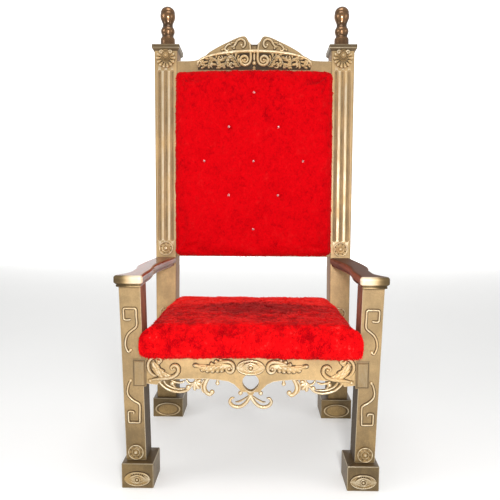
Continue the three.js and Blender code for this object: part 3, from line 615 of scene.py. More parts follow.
def mahogany_finish(colours):
    """Polished mahogany with gold paint on the rounded front end of the arm. The lacquer shines on the left
    arm, and the top of the right one has matt lacquer painted darker, worn and also painted shade. On the
    gold ends, the crests of the moulding are worn pale with a painted highlight, and the paint turns dark
    brown towards the arms' outer sides as painted shade."""
    finish = Finish("mahogany", Coat_Roughness=0.16, Specular_IOR_Level=0.12)
    fibre, pores = wood_grain(finish)
    figure = fibre.step(0.28, 0.74)
    wood = finish.mix(figure, shaded(colours.mahogany, 0.42), shaded(colours.mahogany, 1.75))
    wood = finish.mix(pores.step(0.62, 0.72) * 0.5, wood, shaded(colours.mahogany, 0.25))
    left = finish.axis("X").step(0.1, -0.1)
    # Painted darker on the right arm's tops: worn lacquer and painted shade
    dull_and_shaded_top = finish.attribute("upward").step(0.5, 0.9) * (1.0 - left)
    wood = finish.mix(dull_and_shaded_top * 0.85, wood, DULL_SHADED_LACQUER)
    blotch = finish.noise(34.0, 5.0, 0.65)
    # Towards the outer end of each gold front the paint is painted dark as shade; this mask is 1 away from
    # that end
    outer = finish.axis("X").maths("ABSOLUTE").step(0.424, 0.37)
    outer = outer * outer
    # Wear on the moulding's crests with a painted highlight there
    rubbed_and_highlight = (blotch * 0.5 + finish.attribute("relief") * 0.9).step(0.5, 1.2) * (0.1 + outer * 0.9)
    paint = finish.mix(rubbed_and_highlight * rubbed_and_highlight, shaded(colours.gold, 0.9), shaded(colours.rubbed_and_highlight, 0.92))
    paint = finish.mix(rubbed_and_highlight.step(0.0, 0.5), shaded(colours.gold, 0.13), paint)
    front = (finish.axis("Y") * -1.0 + (blotch - 0.5) * 0.006).step(-LEG_FACE + 0.017, -LEG_FACE + 0.020)
    finish.set("Base Color", finish.mix(front, wood, paint))
    finish.set("Metallic", front * 0.3)
    finish.set("Coat Weight", left * 0.42 * (1.0 - front))
    finish.set("Roughness", 0.62 - left * 0.26 * (1.0 - front) - front * 0.14 + (fibre - 0.5) * 0.2)
    finish.set("Normal", finish.bump(pores, 0.15, 0.0006))
    return finish.material


def timber_finish(colours):
    """Stained softwood boards, matt, with a coarse grain."""
    finish = Finish("stained_timber", Roughness=0.72)
    fibre, pores = wood_grain(finish, 30.0)
    wood = finish.mix(fibre.step(0.3, 0.7), shaded(colours.timber, 0.55), shaded(colours.timber, 1.6))
    finish.set("Base Color", finish.mix(pores.step(0.6, 0.75) * 0.4, wood, shaded(colours.timber, 0.3)))
    finish.set("Normal", finish.bump(fibre, 0.25, 0.0012))
    return finish.material


def plush_finish(colours):
    """Crushed plush: light pile brushed darker in patches, with a dark worn patch on the seat. The seat's top
    is lifted by painted light and painted glints, and its front face is darkened as painted shade. Raised
    tufts and the tips of the blades are painted lighter as highlight and the roots darker as shade. The back
    is a little darker than the seat, most of all towards its top as painted shade."""
    finish = Finish("crushed_plush", Roughness=0.95, Sheen_Weight=0.3, Sheen_Roughness=0.35,
                    Sheen_Tint=(1.0, 0.14, 0.12), Specular_IOR_Level=0.04)
    patch = finish.noise(9.0, 3.0, 0.55, distortion=0.8)
    crush = finish.noise(72.0, 5.0, 0.7, stretch=(1.0, 1.0, 0.6), distortion=1.2)
    pile = finish.noise(300.0, 3.0, 0.7, stretch=(1.0, 1.0, 0.4))
    across = (finish.axis("X") - 0.03) * (1 / 0.22)
    back = (finish.axis("Y") - (LEG_FACE + 0.25)) * (1 / 0.15)
    far = (across * across + back * back).maths("SQRT") + (crush - 0.5) * 1.5 + (patch - 0.5) * 0.9
    seat = (0.6 - finish.axis("Z")).step(0.0, 0.02)
    worn = far.step(1.15, 0.3) * seat
    # The relief term paints raised tufts and blade tips lighter as highlight, and blade roots darker as shade
    tone = crush * 0.8 + patch * 0.2 + (pile - 0.5) * 0.4 + finish.attribute("relief") * 0.45
    # Painted shade on the cushion's front face and towards the top of the back
    front = seat * finish.axis("Y").step(0.02, -0.05)
    shaded_top = finish.axis("Z").step(1.15, 1.6)
    tone = tone - front * 0.1 - shaded_top * 0.09
    brushed = (tone - worn * 0.26 + (1.0 - seat) * 0.06).step(0.38, 0.74)
    # Painted glints on the raised pile of the seat
    high = (tone - worn * 0.3).step(0.76, 1.0) * (0.05 + seat * 0.55)
    colour = finish.mix(brushed, tuple(colours.shade), tuple(colours.plush))
    colour = finish.mix(worn * 0.45, colour, shaded(colours.shade, 0.6))
    # Painted light on the seat's top
    colour = finish.mix(brushed * (seat - front * 0.8) * 0.75, colour, LIT_PLUSH)
    colour = finish.mix((1.0 - seat) * 0.24, colour, shaded(colours.shade, 1.2))
    finish.set("Base Color", finish.mix(high, colour, PLUSH_GLINT))
    folds = finish.bump(crush, 0.45, 0.005)
    finish.set("Normal", finish.bump(pile, 0.4, 0.0012, folds))
    return finish.material


def crystal_finish():
    """Cut crystal that lets the plush show through, with faint cloudy facets. Its pink tint is a painted
    reflection of the red plush round it.
    """
    finish = Finish("crystal", Transmission_Weight=0.8, IOR=1.6, Coat_Weight=0.3)
    cloud = finish.noise(300.0)
    # The pink tint is a painted reflection of the plush
    finish.set("Base Color", finish.mix(cloud, (1.0, 0.62, 0.62), (1.0, 0.86, 0.86)))
    finish.set("Roughness", 0.05 + cloud * 0.1)
    return finish.material


def floor_finish():
    """Pale matt studio floor, lit a little by itself, with a barely visible mottle."""
    finish = Finish("studio_floor", Roughness=0.9, Emission_Color=WHITE, Emission_Strength=0.22)
    cloud = finish.noise(1.5)
    finish.set("Base Color", finish.mix(cloud, (0.80, 0.80, 0.79), (0.85, 0.85, 0.84)))
    return finish.material


def backdrop_finish():
    """A white screen that glows as if lit from behind."""
    finish = Finish("studio_backdrop", Roughness=0.9, Emission_Strength=0.95)
    cloud = finish.noise(0.8)
    finish.set("Emission Color", finish.mix(cloud, (0.97, 0.97, 0.97), (1.0, 1.0, 1.0)))
    return finish.material


def finishes():
    """A maker for each material, by key. They take their colours from the panel's settings."""
    colours = bpy.context.scene.throne_colours
    return {
        # Each gold below is one paint darkened by its level: partly age and partly painted shade for parts
        # that get less light
        "gold": lambda: gold_finish("carved_gold", colours, True),
        "old_gold": lambda: gold_finish("aged_and_shaded_foot_gold", colours, True, 0.54),
        "joint_gold": lambda: gold_finish("joint_gold", colours, True, 0.6),
        "cap_gold": lambda: gold_finish("cap_gold", colours, True, 0.32),
        "crest_gold": lambda: gold_finish("crest_gold", colours, True, 0.7),
        "flat_gold": lambda: gold_finish("board_gold", colours, False, 0.6),
        "leg_gold": lambda: gold_finish("leg_gold", colours, True, 0.71, 0.95),
        "post_gold": lambda: gold_finish("post_gold", colours, True, 0.95, 0.5),
        "aged_brass": lambda: brass_finish(colours),
        "mahogany": lambda: mahogany_finish(colours),
        "stained_timber": lambda: timber_finish(colours),
        "crushed_plush": lambda: plush_finish(colours),
        "crystal": crystal_finish,
        "studio_floor": floor_finish,
        "studio_backdrop": backdrop_finish,
    }


def finish_for(key):
    """The material of that key, made the first time that it is asked for."""
    made = bpy.context.scene.get("throne_" + key)
    if made is None:
        made = finishes()[key]()
        bpy.context.scene["throne_" + key] = made
    return made


# Making pieces

def gathered(items, name, columns):
    """One property of all the items as an array with that many columns."""
    values = np.empty(len(items) * columns)
    items.foreach_get(name, values)
    return values.reshape(-1, columns)


def to_world(points, leaning):
    """Drawing millimetres to metres in the shared frame. A leaning piece is turned back about the seat."""
    x, y, z = points[:, 0], points[:, 1], points[:, 2]
    if leaning:
        cos, sin = math.cos(LEAN), math.sin(LEAN)
        up = z - SEAT_HEIGHT
        y, z = SEAT_DEPTH + y * cos + up * sin, SEAT_HEIGHT - y * sin + up * cos
    return np.stack([x * 0.001, y * 0.001 + LEG_FACE, z * 0.001], axis=1)


def make_piece(name, skins, key, nodes, leaning=False, angle=40.0):
    """One object from closed skins, with its tones, material, body and the nodes it stands for."""
    start = 0
    points, faces, tones = [], [], []
    for skin in skins:
        placed = outward(skin._replace(points=to_world(skin.points, leaning)))
        points.append(placed.points)
        tones.append(placed.relief)
        faces += (placed.quads + start).tolist()
        faces += (placed.triangles + start).tolist()
        start += len(placed.points)
    mesh = bpy.data.meshes.new(name)
    mesh.from_pydata(np.concatenate(points).tolist(), [], faces)
    # The relief tone also paints light: the finishes make crests paler as a painted highlight and hollows
    # darker as painted shade
    relief = mesh.attributes.new("relief", "FLOAT", "POINT")
    relief.data.foreach_set("value", np.concatenate(tones).astype(np.float32))
    normals = gathered(mesh.polygons, "normal", 3)
    for label, values in (("sideways", np.abs(normals[:, 0])), ("upward", normals[:, 2])):
        values = np.ascontiguousarray(values, dtype=np.float32)
        mesh.attributes.new(label, "FLOAT", "FACE").data.foreach_set("value", values)
    mesh.shade_smooth()
    mesh.set_sharp_from_angle(angle=math.radians(angle))
    piece = bpy.data.objects.new(name, mesh)
    bpy.context.scene.collection.objects.link(piece)
    mesh.materials.append(finish_for(key))
    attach(piece, "root")
    if nodes:
        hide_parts(*nodes)
    return piece


def make_pair(name, skins, key, node, leaning=False, angle=40.0):
    """The same piece on the left and on the right, from skins drawn for the right."""
    for label, side in SIDES:
        mirrored = on_side(side, skins)
        make_piece(f"{name}_{label}", mirrored, key, [f"{node}_{label}"], leaning, angle)


def add_weld(piece):
    """Joins the separate corners of a solid's faces."""
    piece.modifiers.new("Weld", "WELD").merge_threshold = WELD


def dress_node(node, key):
    """Keeps a solid's own mesh, and gives it a material and softened edges."""
    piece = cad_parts[node]
    piece.data.materials.clear()
    piece.data.materials.append(finish_for(key))
    add_weld(piece)
    bevel = piece.modifiers.new("Soft edges", "BEVEL")
    bevel.width = SOFT_EDGE
    bevel.segments = 2
    bevel.limit_method = "ANGLE"


def leg_width(height):
    """Width of the leg's face at a height: even taper from foot to arm."""
    share = (height - LEG_BOTTOM) / (LEG_TOP - LEG_BOTTOM)
    return LEG_WIDTHS[0] + (LEG_WIDTHS[1] - LEG_WIDTHS[0]) * share


def leg_centre(height):
    """Distance of the leg's middle line from the middle of the throne at a height."""
    return SIDE + LEG_SPLAY * (height - LEG_BOTTOM) / (LEG_TOP - LEG_BOTTOM)


def post_half(height):
    """Half the width of the back post, which grows evenly above the seat."""
    share = np.clip((height - SEAT_HEIGHT) / (POST_HEIGHT - SEAT_HEIGHT), 0, 1)
    return (POST_SEAT + (POST_TOP - POST_SEAT) * share) / 2


def rosette(radius, rise, lobes=0):
    """A round rosette: a rolled rim, a hollow with petals, a ring and a domed middle."""
    shares = [
        [0.001, 0], [1, 0], [1, 0.35], [0.985, 0.58], [0.95, 0.72], [0.9, 0.76], [0.85, 0.7], [0.81, 0.5],
        [0.76, 0.36], [0.68, 0.34], [0.6, 0.42], [0.53, 0.6], [0.48, 0.74], [0.43, 0.7], [0.39, 0.5],
        [0.35, 0.4], [0.31, 0.52], [0.26, 0.76], [0.18, 0.92], [0.09, 0.99], [0.001, 1],
    ]
    profile = [[r * radius, h * rise] for r, h in shares]
    tones = [0, 0.1, 0.4, 0.7, 0.9, 1, 0.85, 0.6, 0.4, 0.45, 0.55,
             0.65, 0.9, 0.8, 0.5, 0.4, 0.5, 0.7, 0.8, 0.9, 0.9]
    return turned(profile, 48, lobes, rise * 0.12, tones)


def eye_relief(width, height, rise):
    """An eye-shaped oval of old carving: a domed oval plaque with a rim and pearls, and on it two lids, an
    iris ring and a pupil."""
    share = np.linspace(0, 1, 15)

    def arch(sign, wide, high):
        bow = np.sin(np.pi * share) ** 0.75
        return np.stack([(share - 0.5) * width * wide, sign * height / 2 * high * bow], axis=1)

    def oval(sign, scale):
        angle = np.pi * share
        x = -np.cos(angle) * width / 2 * scale
        return np.stack([x, sign * np.sin(angle) * height / 2 * scale], axis=1)

    def strand(path, thickness, lift, ends, skirt):
        return bead(path, height * thickness, rise * lift, ends, ends, skirt=skirt, step=2)

    columns = np.sin(np.linspace(-1.48, 1.48, 41))[:, None]
    rows = np.linspace(-1, 1, 15)
    half = height / 2 * np.sqrt(1 - columns ** 2)
    fall = (rows[None, :] * 0.98) ** 2 * (1 - (columns * 0.5) ** 2) + (columns * 0.7) ** 4
    lens_rise = rise * (0.12 + 0.42 * np.sqrt(np.clip(1 - fall, 0, 1)))
    x = np.broadcast_to(columns * width / 2, lens_rise.shape)
    front = np.stack([x, -lens_rise, rows[None, :] * half], axis=-1)
    rear = front[:, ::-1] * np.array([1, 0, 1])
    tone = np.clip(0.9 - np.abs(rows) ** 3 * 0.7, 0, 1)
    tone = np.concatenate([tone, np.zeros(len(rows))])
    lens = loft(np.concatenate([front, rear], axis=1), tone[None, :])
    iris = height * 0.23
    shares = [[0, 0], [1, 0], [1, 0.8], [0.92, 0.95], [0.78, 1], [0.66, 0.85], [0.56, 0.6], [0.5, 0.6],
              [0.42, 0.85], [0.25, 1.02], [0, 1.08]]
    ring = [[max(0.001, across * iris), lift * rise] for across, lift in shares]
    tones = [0.0, 0.0, 0.4, 0.9, 1, 0.6, 0.0, 0.0, 0.6, 0.9, 1]
    lids = [strand(arch(1, 0.66, 0.6), 0.13, 0.5, 0.4, 2.4), strand(arch(-1, 0.6, 0.5), 0.08, 0.4, 0.4, 1.0)]
    rims = [strand(oval(sign, 0.93), 0.11, 0.5, 0.8, 1.8) for sign in (1, -1)]
    pearl = height * 0.085
    pearls = [dome(x, z, pearl, pearl, rise * 0.25) for sign in (1, -1) for x, z in oval(sign, 0.8)[1:-1]]
    return [lens, turned(ring, 30, tones=tones), *shift_all(lids, y=-rise * 0.42), *rims,
            *shift_all(pearls, y=-rise * 0.36)]


def shift_all(skins, x=0.0, y=0.0, z=0.0):
    """All the skins shifted alike."""
    return [moved(skin, x, y, z) for skin in skins]


def make_feet():
    """Block feet with rounded edges, eye ovals in front and plain bosses on the rear pair."""
    edge = bpy.context.scene.throne_sizes.edge * 1000
    x = SIDE - FOOT_INSET
    for place, (width, depth, lead), start in (("front", FRONT_FOOT, 0), ("rear", REAR_FOOT, SEAT_DEPTH)):
        low = [x - width / 2, start - lead, 0]
        high = [x + width / 2, start - lead + depth, FOOT_HEIGHT]
        foot = block(low, high, edge + 0.5)
        make_pair(f"foot_{place}_block", [foot], "old_gold", f"foot_{place}")
    eye = eye_relief(FRONT_FOOT[0] * 0.82, FOOT_HEIGHT * 0.56, 8)
    eye = shift_all(eye, x, -FRONT_FOOT[2] - GAP, FOOT_HEIGHT * 0.39)
    make_pair("foot_eye_carving", eye, "gold", "foot_eye")
    half_width, half_height, rise = REAR_FOOT[0] * 0.86 / 2, FOOT_HEIGHT * 0.7 / 2, 7.2
    shares = [[0.001, 0], [1, 0], [0.995, 0.5], [0.96, 0.85], [0.92, 1], [0.86, 0.92], [0.82, 0.72],
              [0.78, 0.66], [0.6, 0.82], [0.3, 0.93], [0.001, 0.95]]
    oval = turned(shares, 48, tones=[0, 0, 0.4, 0.9, 1, 0.7, 0.1, 0.15, 0.55, 0.65, 0.65])
    oval = oval._replace(points=oval.points * np.array([half_width, rise, half_height]))
    oval = moved(oval, x, SEAT_DEPTH - REAR_FOOT[2] - GAP, FOOT_HEIGHT * 0.44)
    make_pair("foot_oval", [oval], "gold", "foot_boss")


# Control points on the leg's face, as shares of its width outwards and of the height between two levels
UPPER_SCROLL = [
    [-0.02, 0.545], [0.14, 0.54], [0.27, 0.543], [0.31, 0.56], [0.31, 0.61], [0.31, 0.675], [0.27, 0.695],
    [0.15, 0.697], [-0.1, 0.697], [-0.22, 0.695], [-0.27, 0.67], [-0.27, 0.6], [-0.28, 0.49], [-0.23, 0.44],
    [-0.04, 0.395], [0.14, 0.345], [0.26, 0.27], [0.28, 0.18], [0.17, 0.1], [0.04, 0.12],
]
LOWER_SCROLL = [
    [0.08, 1.09], [0.18, 1.05], [0.26, 0.98], [0.29, 0.91], [0.23, 0.85], [0.04, 0.79], [-0.2, 0.745],
    [-0.275, 0.72], [-0.285, 0.66], [-0.265, 0.55], [-0.255, 0.475], [-0.22, 0.45], [0.05, 0.45],
    [0.25, 0.452], [0.29, 0.475], [0.29, 0.54], [0.285, 0.6], [0.25, 0.617], [0.11, 0.618], [0.03, 0.61],
    [0.02, 0.575],
]


def on_leg(points, bottom, top):
    """Shares on the leg's face as millimetres across and up."""
    given = np.asarray(points, float)
    height = bottom + given[:, 1] * (top - bottom)
    return np.stack([leg_centre(height) + given[:, 0] * leg_width(height), height], axis=1)


def leg_block(edge):
    """The tapered leg: a rounded bar whose middle and width follow the leg's taper with height."""
    bar = block([-0.5 * LEG_WIDTHS[1], 0, LEG_BOTTOM], [0.5 * LEG_WIDTHS[1], LEG_DEPTH, LEG_TOP], edge)
    height = bar.points[:, 2]
    across = bar.points[:, 0] / LEG_WIDTHS[1] * leg_width(height)
    placed = np.stack([leg_centre(height) + across, bar.points[:, 1], height], axis=1)
    return bar._replace(points=placed)


def make_legs():
    """Front legs with their raised key scrolls, rosettes and bevelled joint blocks."""
    sizes = bpy.context.scene.throne_sizes
    edge, rise = sizes.edge * 1000, sizes.bead * 1000
    joint_top = SEAT_HEIGHT - JOINT_DROP
    joint_bottom = joint_top - JOINT_HEIGHT
    rosette_height = FOOT_HEIGHT + 30
    make_pair("leg", [leg_block(edge)], "leg_gold", "front_leg")
    scrolls = (("upper", UPPER_SCROLL, [0.05, 0.125], joint_top, LEG_TOP),
               ("lower", LOWER_SCROLL, [0.11, 1.085], rosette_height, joint_bottom))
    for place, points, curl_middle, bottom, top in scrolls:
        strand = bead(on_leg(points, bottom, top), 6.5, rise, 0.9, 0.9, skirt=2)
        boss = dome(*on_leg([curl_middle], bottom, top)[0], 11, 11, rise)
        skins = shift_all([strand, boss], y=-GAP)
        make_pair(f"leg_key_{place}", skins, "gold", f"leg_scroll_{place}")
    round_skin = moved(rosette(26, 9, 8), SIDE, -GAP, rosette_height)
    make_pair("leg_round", [round_skin], "gold", "leg_rosette")
    inner = leg_centre(joint_top) - leg_width(joint_top) / 2
    plate = bevelled_plate(JOINT_WIDTH, JOINT_HEIGHT, JOINT_RISE)
    plate = moved(plate, inner + JOINT_WIDTH / 4, -GAP, (joint_top + joint_bottom) / 2)
    make_pair("joint_plate", [plate], "joint_gold", "joint_block")


def bevelled_plate(width, height, rise):
    """A block on the front plane: square sides, a sunk margin and a wide bevel up to a flat face."""
    steps = [[0, 0], [0, 0.3], [0.8, 0.36], [3.0, 0.36], [3.6, 0.4], [8.0, 0.94], [8.6, 1.0], [9.6, 1.0]]
    # Tones per step: the sunk margin is painted dark as shade and the top of the bevel pale as a painted
    # highlight
    edges = [0, 0.2, 0.9, 0.05, 0.1, 0.6, 1.0, 0.8]
    rings, tones = [], []
    for (inset, lift), tone in zip(steps, edges):
        ring = rounded_ring(width / 2 - inset, height / 2 - inset, 1.2)[0]
        rings.append(np.stack([ring[:, 0], np.full(len(ring), -lift * rise), ring[:, 1]], axis=1))
        tones.append(np.full(len(ring), tone))
    return loft(np.array(rings), np.array(tones))


def fluted_post(edge):
    """A back post. Each section is a rounded rectangle whose front side dips into three flutes, and the
    sections above the seat run evenly from the seat's to the leaning one at the top."""
    sweep = -np.cos(np.linspace(0, np.pi, 15))
    centres = np.array([-1, 0, 1]) * FLUTE_SPACING
    across = (centres[:, None] + sweep[None, :] * FLUTE_WIDTH / 2 * 1.002).ravel()
    width = (POST_SEAT + POST_TOP) / 2
    corner = edge / width
    arc = np.linspace(np.pi / 2, 0, 5)
    left = np.stack([-0.5 + corner * (1 - np.sin(arc)), -0.5 + corner * (1 - np.cos(arc))], axis=1)
    right = left[::-1] * np.array([-1, 1])
    front = np.stack([across / width, np.full(len(across), -0.5)], axis=1)
    rear = np.array([[0.5, -0.4], [0.5, 0.44], [0.5, 0.49], [0.49, 0.5], [0.44, 0.5],
                     [-0.44, 0.5], [-0.49, 0.5], [-0.5, 0.49], [-0.5, 0.44], [-0.5, -0.4]])
    section = np.concatenate([left, front, right, rear])
    is_front = np.concatenate([np.zeros(5), np.ones(len(front)), np.zeros(5), np.zeros(len(rear))]) > 0
    # The post's rounded corners are painted dark as shade
    shaded_corner_tone = np.full(5, 0.28)
    base_tone = np.concatenate([shaded_corner_tone, np.full(len(front), 0.7), shaded_corner_tone,
                                [0.5, 0.5, 0.9, 0.9, 0.5, 0.5, 0.9, 0.9, 0.5, 0.5]])
    radius = FLUTE_WIDTH / 2
    ends = np.linspace(0, 1, 9) ** 1.5 * radius
    heights = np.unique(np.concatenate([
        [LEG_BOTTOM, LEG_BOTTOM + 3, SEAT_HEIGHT], np.linspace(SEAT_HEIGHT, POST_HEIGHT, 24),
        FLUTE_BOTTOM + ends, FLUTE_TOP - ends,
    ]))
    share = np.clip((heights - SEAT_HEIGHT) / (POST_HEIGHT - SEAT_HEIGHT), 0, 1)[:, None]
    wide = POST_SEAT + (POST_TOP - POST_SEAT) * share
    x = section[None, :, 0] * wide
    x = np.where(is_front[None, :], section[None, :, 0] * width, x)
    depth = (section[None, :, 1] + 0.5) * POST_DEPTH * np.ones_like(share)
    level = heights[:, None]
    nearest = centres[np.abs(x[..., None] - centres).argmin(axis=-1)]
    past = np.maximum(0, np.maximum(level - (FLUTE_TOP - radius), (FLUTE_BOTTOM + radius) - level))
    distance = np.hypot(x - nearest, past) / radius
    dip = np.sqrt(np.clip(1 - distance ** 2, 0, 1)) * is_front[None, :]
    lift = level - SEAT_HEIGHT
    cos, sin = math.cos(LEAN), math.sin(LEAN)
    top_y = SEAT_DEPTH + depth * cos + (POST_HEIGHT - SEAT_HEIGHT) * sin
    top_z = SEAT_HEIGHT - depth * sin + (POST_HEIGHT - SEAT_HEIGHT) * cos
    low_y = SEAT_DEPTH + depth
    y = np.where(lift > 0, low_y + (top_y - low_y) * share, low_y) + dip * FLUTE_DEPTH
    z = np.where(lift > 0, SEAT_HEIGHT + (top_z - SEAT_HEIGHT) * share, level)
    # The flutes' hollows are painted darker as shade and their rims lighter as a painted highlight
    rims = 0.35 * np.exp(-((distance - 1.08) / 0.12) ** 2)
    tone = np.clip(base_tone[None, :] - dip * 0.5 + rims, 0, 1)
    return loft(np.stack([SIDE + x, y, z], axis=-1), tone)


def square_moulding(profile, tones):
    """A moulding run round a square: half width against height."""
    rings = []
    for half, height in profile:
        ring = rounded_ring(half, half, min(1.5, half * 0.3))[0]
        rings.append(np.column_stack([ring, np.full(len(ring), height)]))
    return loft(np.array(rings), np.array(tones)[:, None])


def upright(profile, segments=48):
    """A turned shape with an upright axis: radius against height."""
    shape = np.asarray(profile, float)
    angle = np.linspace(0, 2 * np.pi, segments, endpoint=False)
    ones = np.ones_like(angle)[None, :]
    radius = shape[:, :1]
    rings = np.stack([radius * np.cos(angle), radius * np.sin(angle), shape[:, 1:2] * ones], axis=-1)
    return loft(rings, crests(shape[:, 0])[:, None])


# The finial as [share of its radius, share of its height]
FINIAL_PROFILE = [
    [0.001, 0], [0.93, 0], [0.96, 0.015], [0.965, 0.05], [0.95, 0.09], [0.965, 0.13], [0.965, 0.2],
    [0.93, 0.235], [0.82, 0.25], [0.78, 0.275], [0.77, 0.305], [0.79, 0.33], [0.86, 0.35], [0.9, 0.375],
    [0.93, 0.41], [0.9, 0.445], [0.82, 0.475], [0.73, 0.5], [0.68, 0.535], [0.67, 0.57], [0.7, 0.6],
    [0.79, 0.64], [0.88, 0.68], [0.97, 0.72], [1.0, 0.76], [0.995, 0.8], [0.965, 0.825], [0.94, 0.835],
    [0.955, 0.85], [0.94, 0.875], [0.86, 0.915], [0.7, 0.955], [0.48, 0.982], [0.24, 0.996], [0.001, 1.0],
]


def petal(length, width, rise, root=0.25):
    """A petal along +x that widens evenly to a round tip. Across it is half round, and it rises to the tip.
    Root is its relief tone at the start."""
    along = np.concatenate([np.linspace(0, 0.7, 9), 0.7 + 0.3 * np.sin(np.linspace(0.15, 1, 8) * np.pi / 2)])
    across = -np.cos(np.linspace(0, np.pi, 11))
    tip = np.sqrt(np.clip(1 - (np.clip(along - 0.72, 0, 1) / 0.285) ** 2, 0, 1))
    half = width / 2 * (0.42 + 0.58 * np.clip(along / 0.75, 0, 1)) * tip
    body = np.sqrt(np.clip(1 - across ** 2, 0, 1))[None, :]
    lift = rise * body * ((0.5 + 0.5 * along) * (0.3 + 0.7 * tip))[:, None]
    tone = body ** 1.6 * (root + (1.1 - root) * along)[:, None]
    rings = np.stack([
        np.broadcast_to(along[:, None] * length, (len(along), len(across))),
        -lift,
        across[None, :] * half[:, None],
    ], axis=-1)
    return loft(rings, np.clip(tone, 0, 1))


def finger(start, tip, width, rise, root=0.25):
    """A petal laid from one point of the front plane to another."""
    run, climb = tip[0] - start[0], tip[1] - start[1]
    one = turned_about(petal(math.hypot(run, climb), width, rise, root), math.atan2(-climb, run))
    return moved(one, start[0], 0, start[1])


def shell_skins():
    """A half sunflower: ten broad petals spread down and sideways round a ribbed disc, under two small
    volutes."""
    radius = SHELL_RADIUS
    middle = np.array([0, -0.13 * radius])
    skins = []
    for angle in math.pi * (-0.14 + 1.28 * np.arange(10) / 9):
        way = np.array([math.cos(angle), -math.sin(angle)]) * radius
        skins.append(finger(middle + way * 0.4, middle + way * 0.9, radius * 0.37, 12.5, 0.15))
    profile = [[0.001, 0], [24, 0], [24, 5], [22.5, 7.5], [20.5, 6], [19, 5], [17, 8], [14.5, 6], [13, 5.6],
               [11, 8.4], [8.5, 6.4], [7, 6.4], [4.5, 9], [0.001, 9.6]]
    tones = [0, 0, 0.4, 0.8, 0.3, 0.15, 0.75, 0.3, 0.15, 0.75, 0.3, 0.2, 0.8, 0.9]
    profile = [[across, height * 1.3] for across, height in profile]
    skins.append(moved(turned(profile, 44, 22, 2.4, tones), 0, 0, radius * 0.12))
    for side in (-1, 1):
        centre = side * radius * 0.42
        start, turns = (0.5, 1.25) if side > 0 else (0.0, -1.25)
        path = spiral(centre, radius * 0.4, radius * 0.19, radius * 0.05, start, -turns)
        skins.append(bead(path, 6.5, 10, 0.8, 0.8, step=2))
        skins.append(dome(centre, radius * 0.4, 8, 8, 11))
    return skins


def make_posts():
    """Back posts, their caps, finials, half-sunflower shells and round rosettes."""
    edge = bpy.context.scene.throne_sizes.edge * 1000
    middle = POST_DEPTH / 2
    cap_top = CAP_CHAMFER + CAP_FASCIA
    make_pair("post", [fluted_post(edge)], "post_gold", "back_post")
    # The chamfer is [half width, height], and the fascia [inset, height above the chamfer]
    lower = [[0.001, 0], [49, 0], [49.8, 0.6], [50.6, 2.2], [53, 5], [57, 8.2], [CAP_WIDTH / 2 - 0.6, 9.6]]
    upper = [[0, 1], [0, 6], [1.2, 7.2], [1.2, 8.6], [0, 9.6], [0, 14.6], [0.6, 15.7], [1.6, CAP_FASCIA]]
    upper = [[CAP_WIDTH / 2 - inset, CAP_CHAMFER + height] for inset, height in upper]
    tones = [0.3, 0.4, 0.6, 0.2, 0.3, 0.6, 0.9, 1, 0.7, 0.1, 0.1, 0.8, 0.8, 1, 0.9, 0.5]
    cap = square_moulding([*lower, *upper, [0.001, cap_top]], tones)
    make_pair("cap", [moved(cap, SIDE, middle, POST_HEIGHT + GAP)], "cap_gold", "post_cap", True)
    profile = [[r * FINIAL_RADIUS, z * FINIAL_HEIGHT] for r, z in FINIAL_PROFILE]
    finial = moved(upright(profile), SIDE, middle, POST_HEIGHT + cap_top + 2 * GAP)
    make_pair("turned_finial", [finial], "aged_brass", "finial", True)
    make_pair("sunflower", shift_all(shell_skins(), SIDE, -GAP, SHELL_CENTRE), "gold", "shell", True)
    for place, radius, height in (("post", 31, FLUTE_BOTTOM - 31), ("seat", 25, SEAT_HEIGHT + 29)):
        round_skin = moved(rosette(radius, 9, 8), SIDE, -GAP, height)
        make_pair(f"{place}_round", [round_skin], "gold", f"{place}_rosette", True)


# The arm in plan as [share of the way from back to front, share of the half width]
ARM_INNER = [
    [0, -0.9], [0.15, -0.71], [0.32, -0.52], [0.5, -0.5], [0.7, -0.81], [0.88, -0.9], [0.95, -0.97],
    [0.985, -1], [0.997, -0.9], [1, -0.72], [1, -0.45], [1, -0.15],
]
ARM_OUTER = [
    [0, 0.9], [0.15, 0.94], [0.32, 0.98], [0.45, 0.96], [0.54, 0.85], [0.63, 0.6], [0.73, 0.46],
    [0.84, 0.42], [0.91, 0.67], [0.955, 0.94], [0.98, 0.93], [0.993, 0.75], [1, 0.5], [1, 0.2], [1, -0.15],
]
# The arm's moulding as [inset, level, tone] from the underside to the top
# The tone column paints the grooves dark as shade and the rounded top pale as a highlight on the gold front
# ends
ARM_MOULDING = [
    [9, 0, 0.3], [7, 1.2, 0.6], [7, 4.8, 0.6], [8.6, 6, 0.05], [8.6, 7, 0.05], [7, 8, 0.6], [5.6, 9.6, 0.5],
    [5.4, 10.6, 0.1], [3.2, 11.2, 0.4], [1.2, 12.8, 0.9], [0.2, 15, 1], [0, 18, 0.9], [0, 26, 0.9],
]


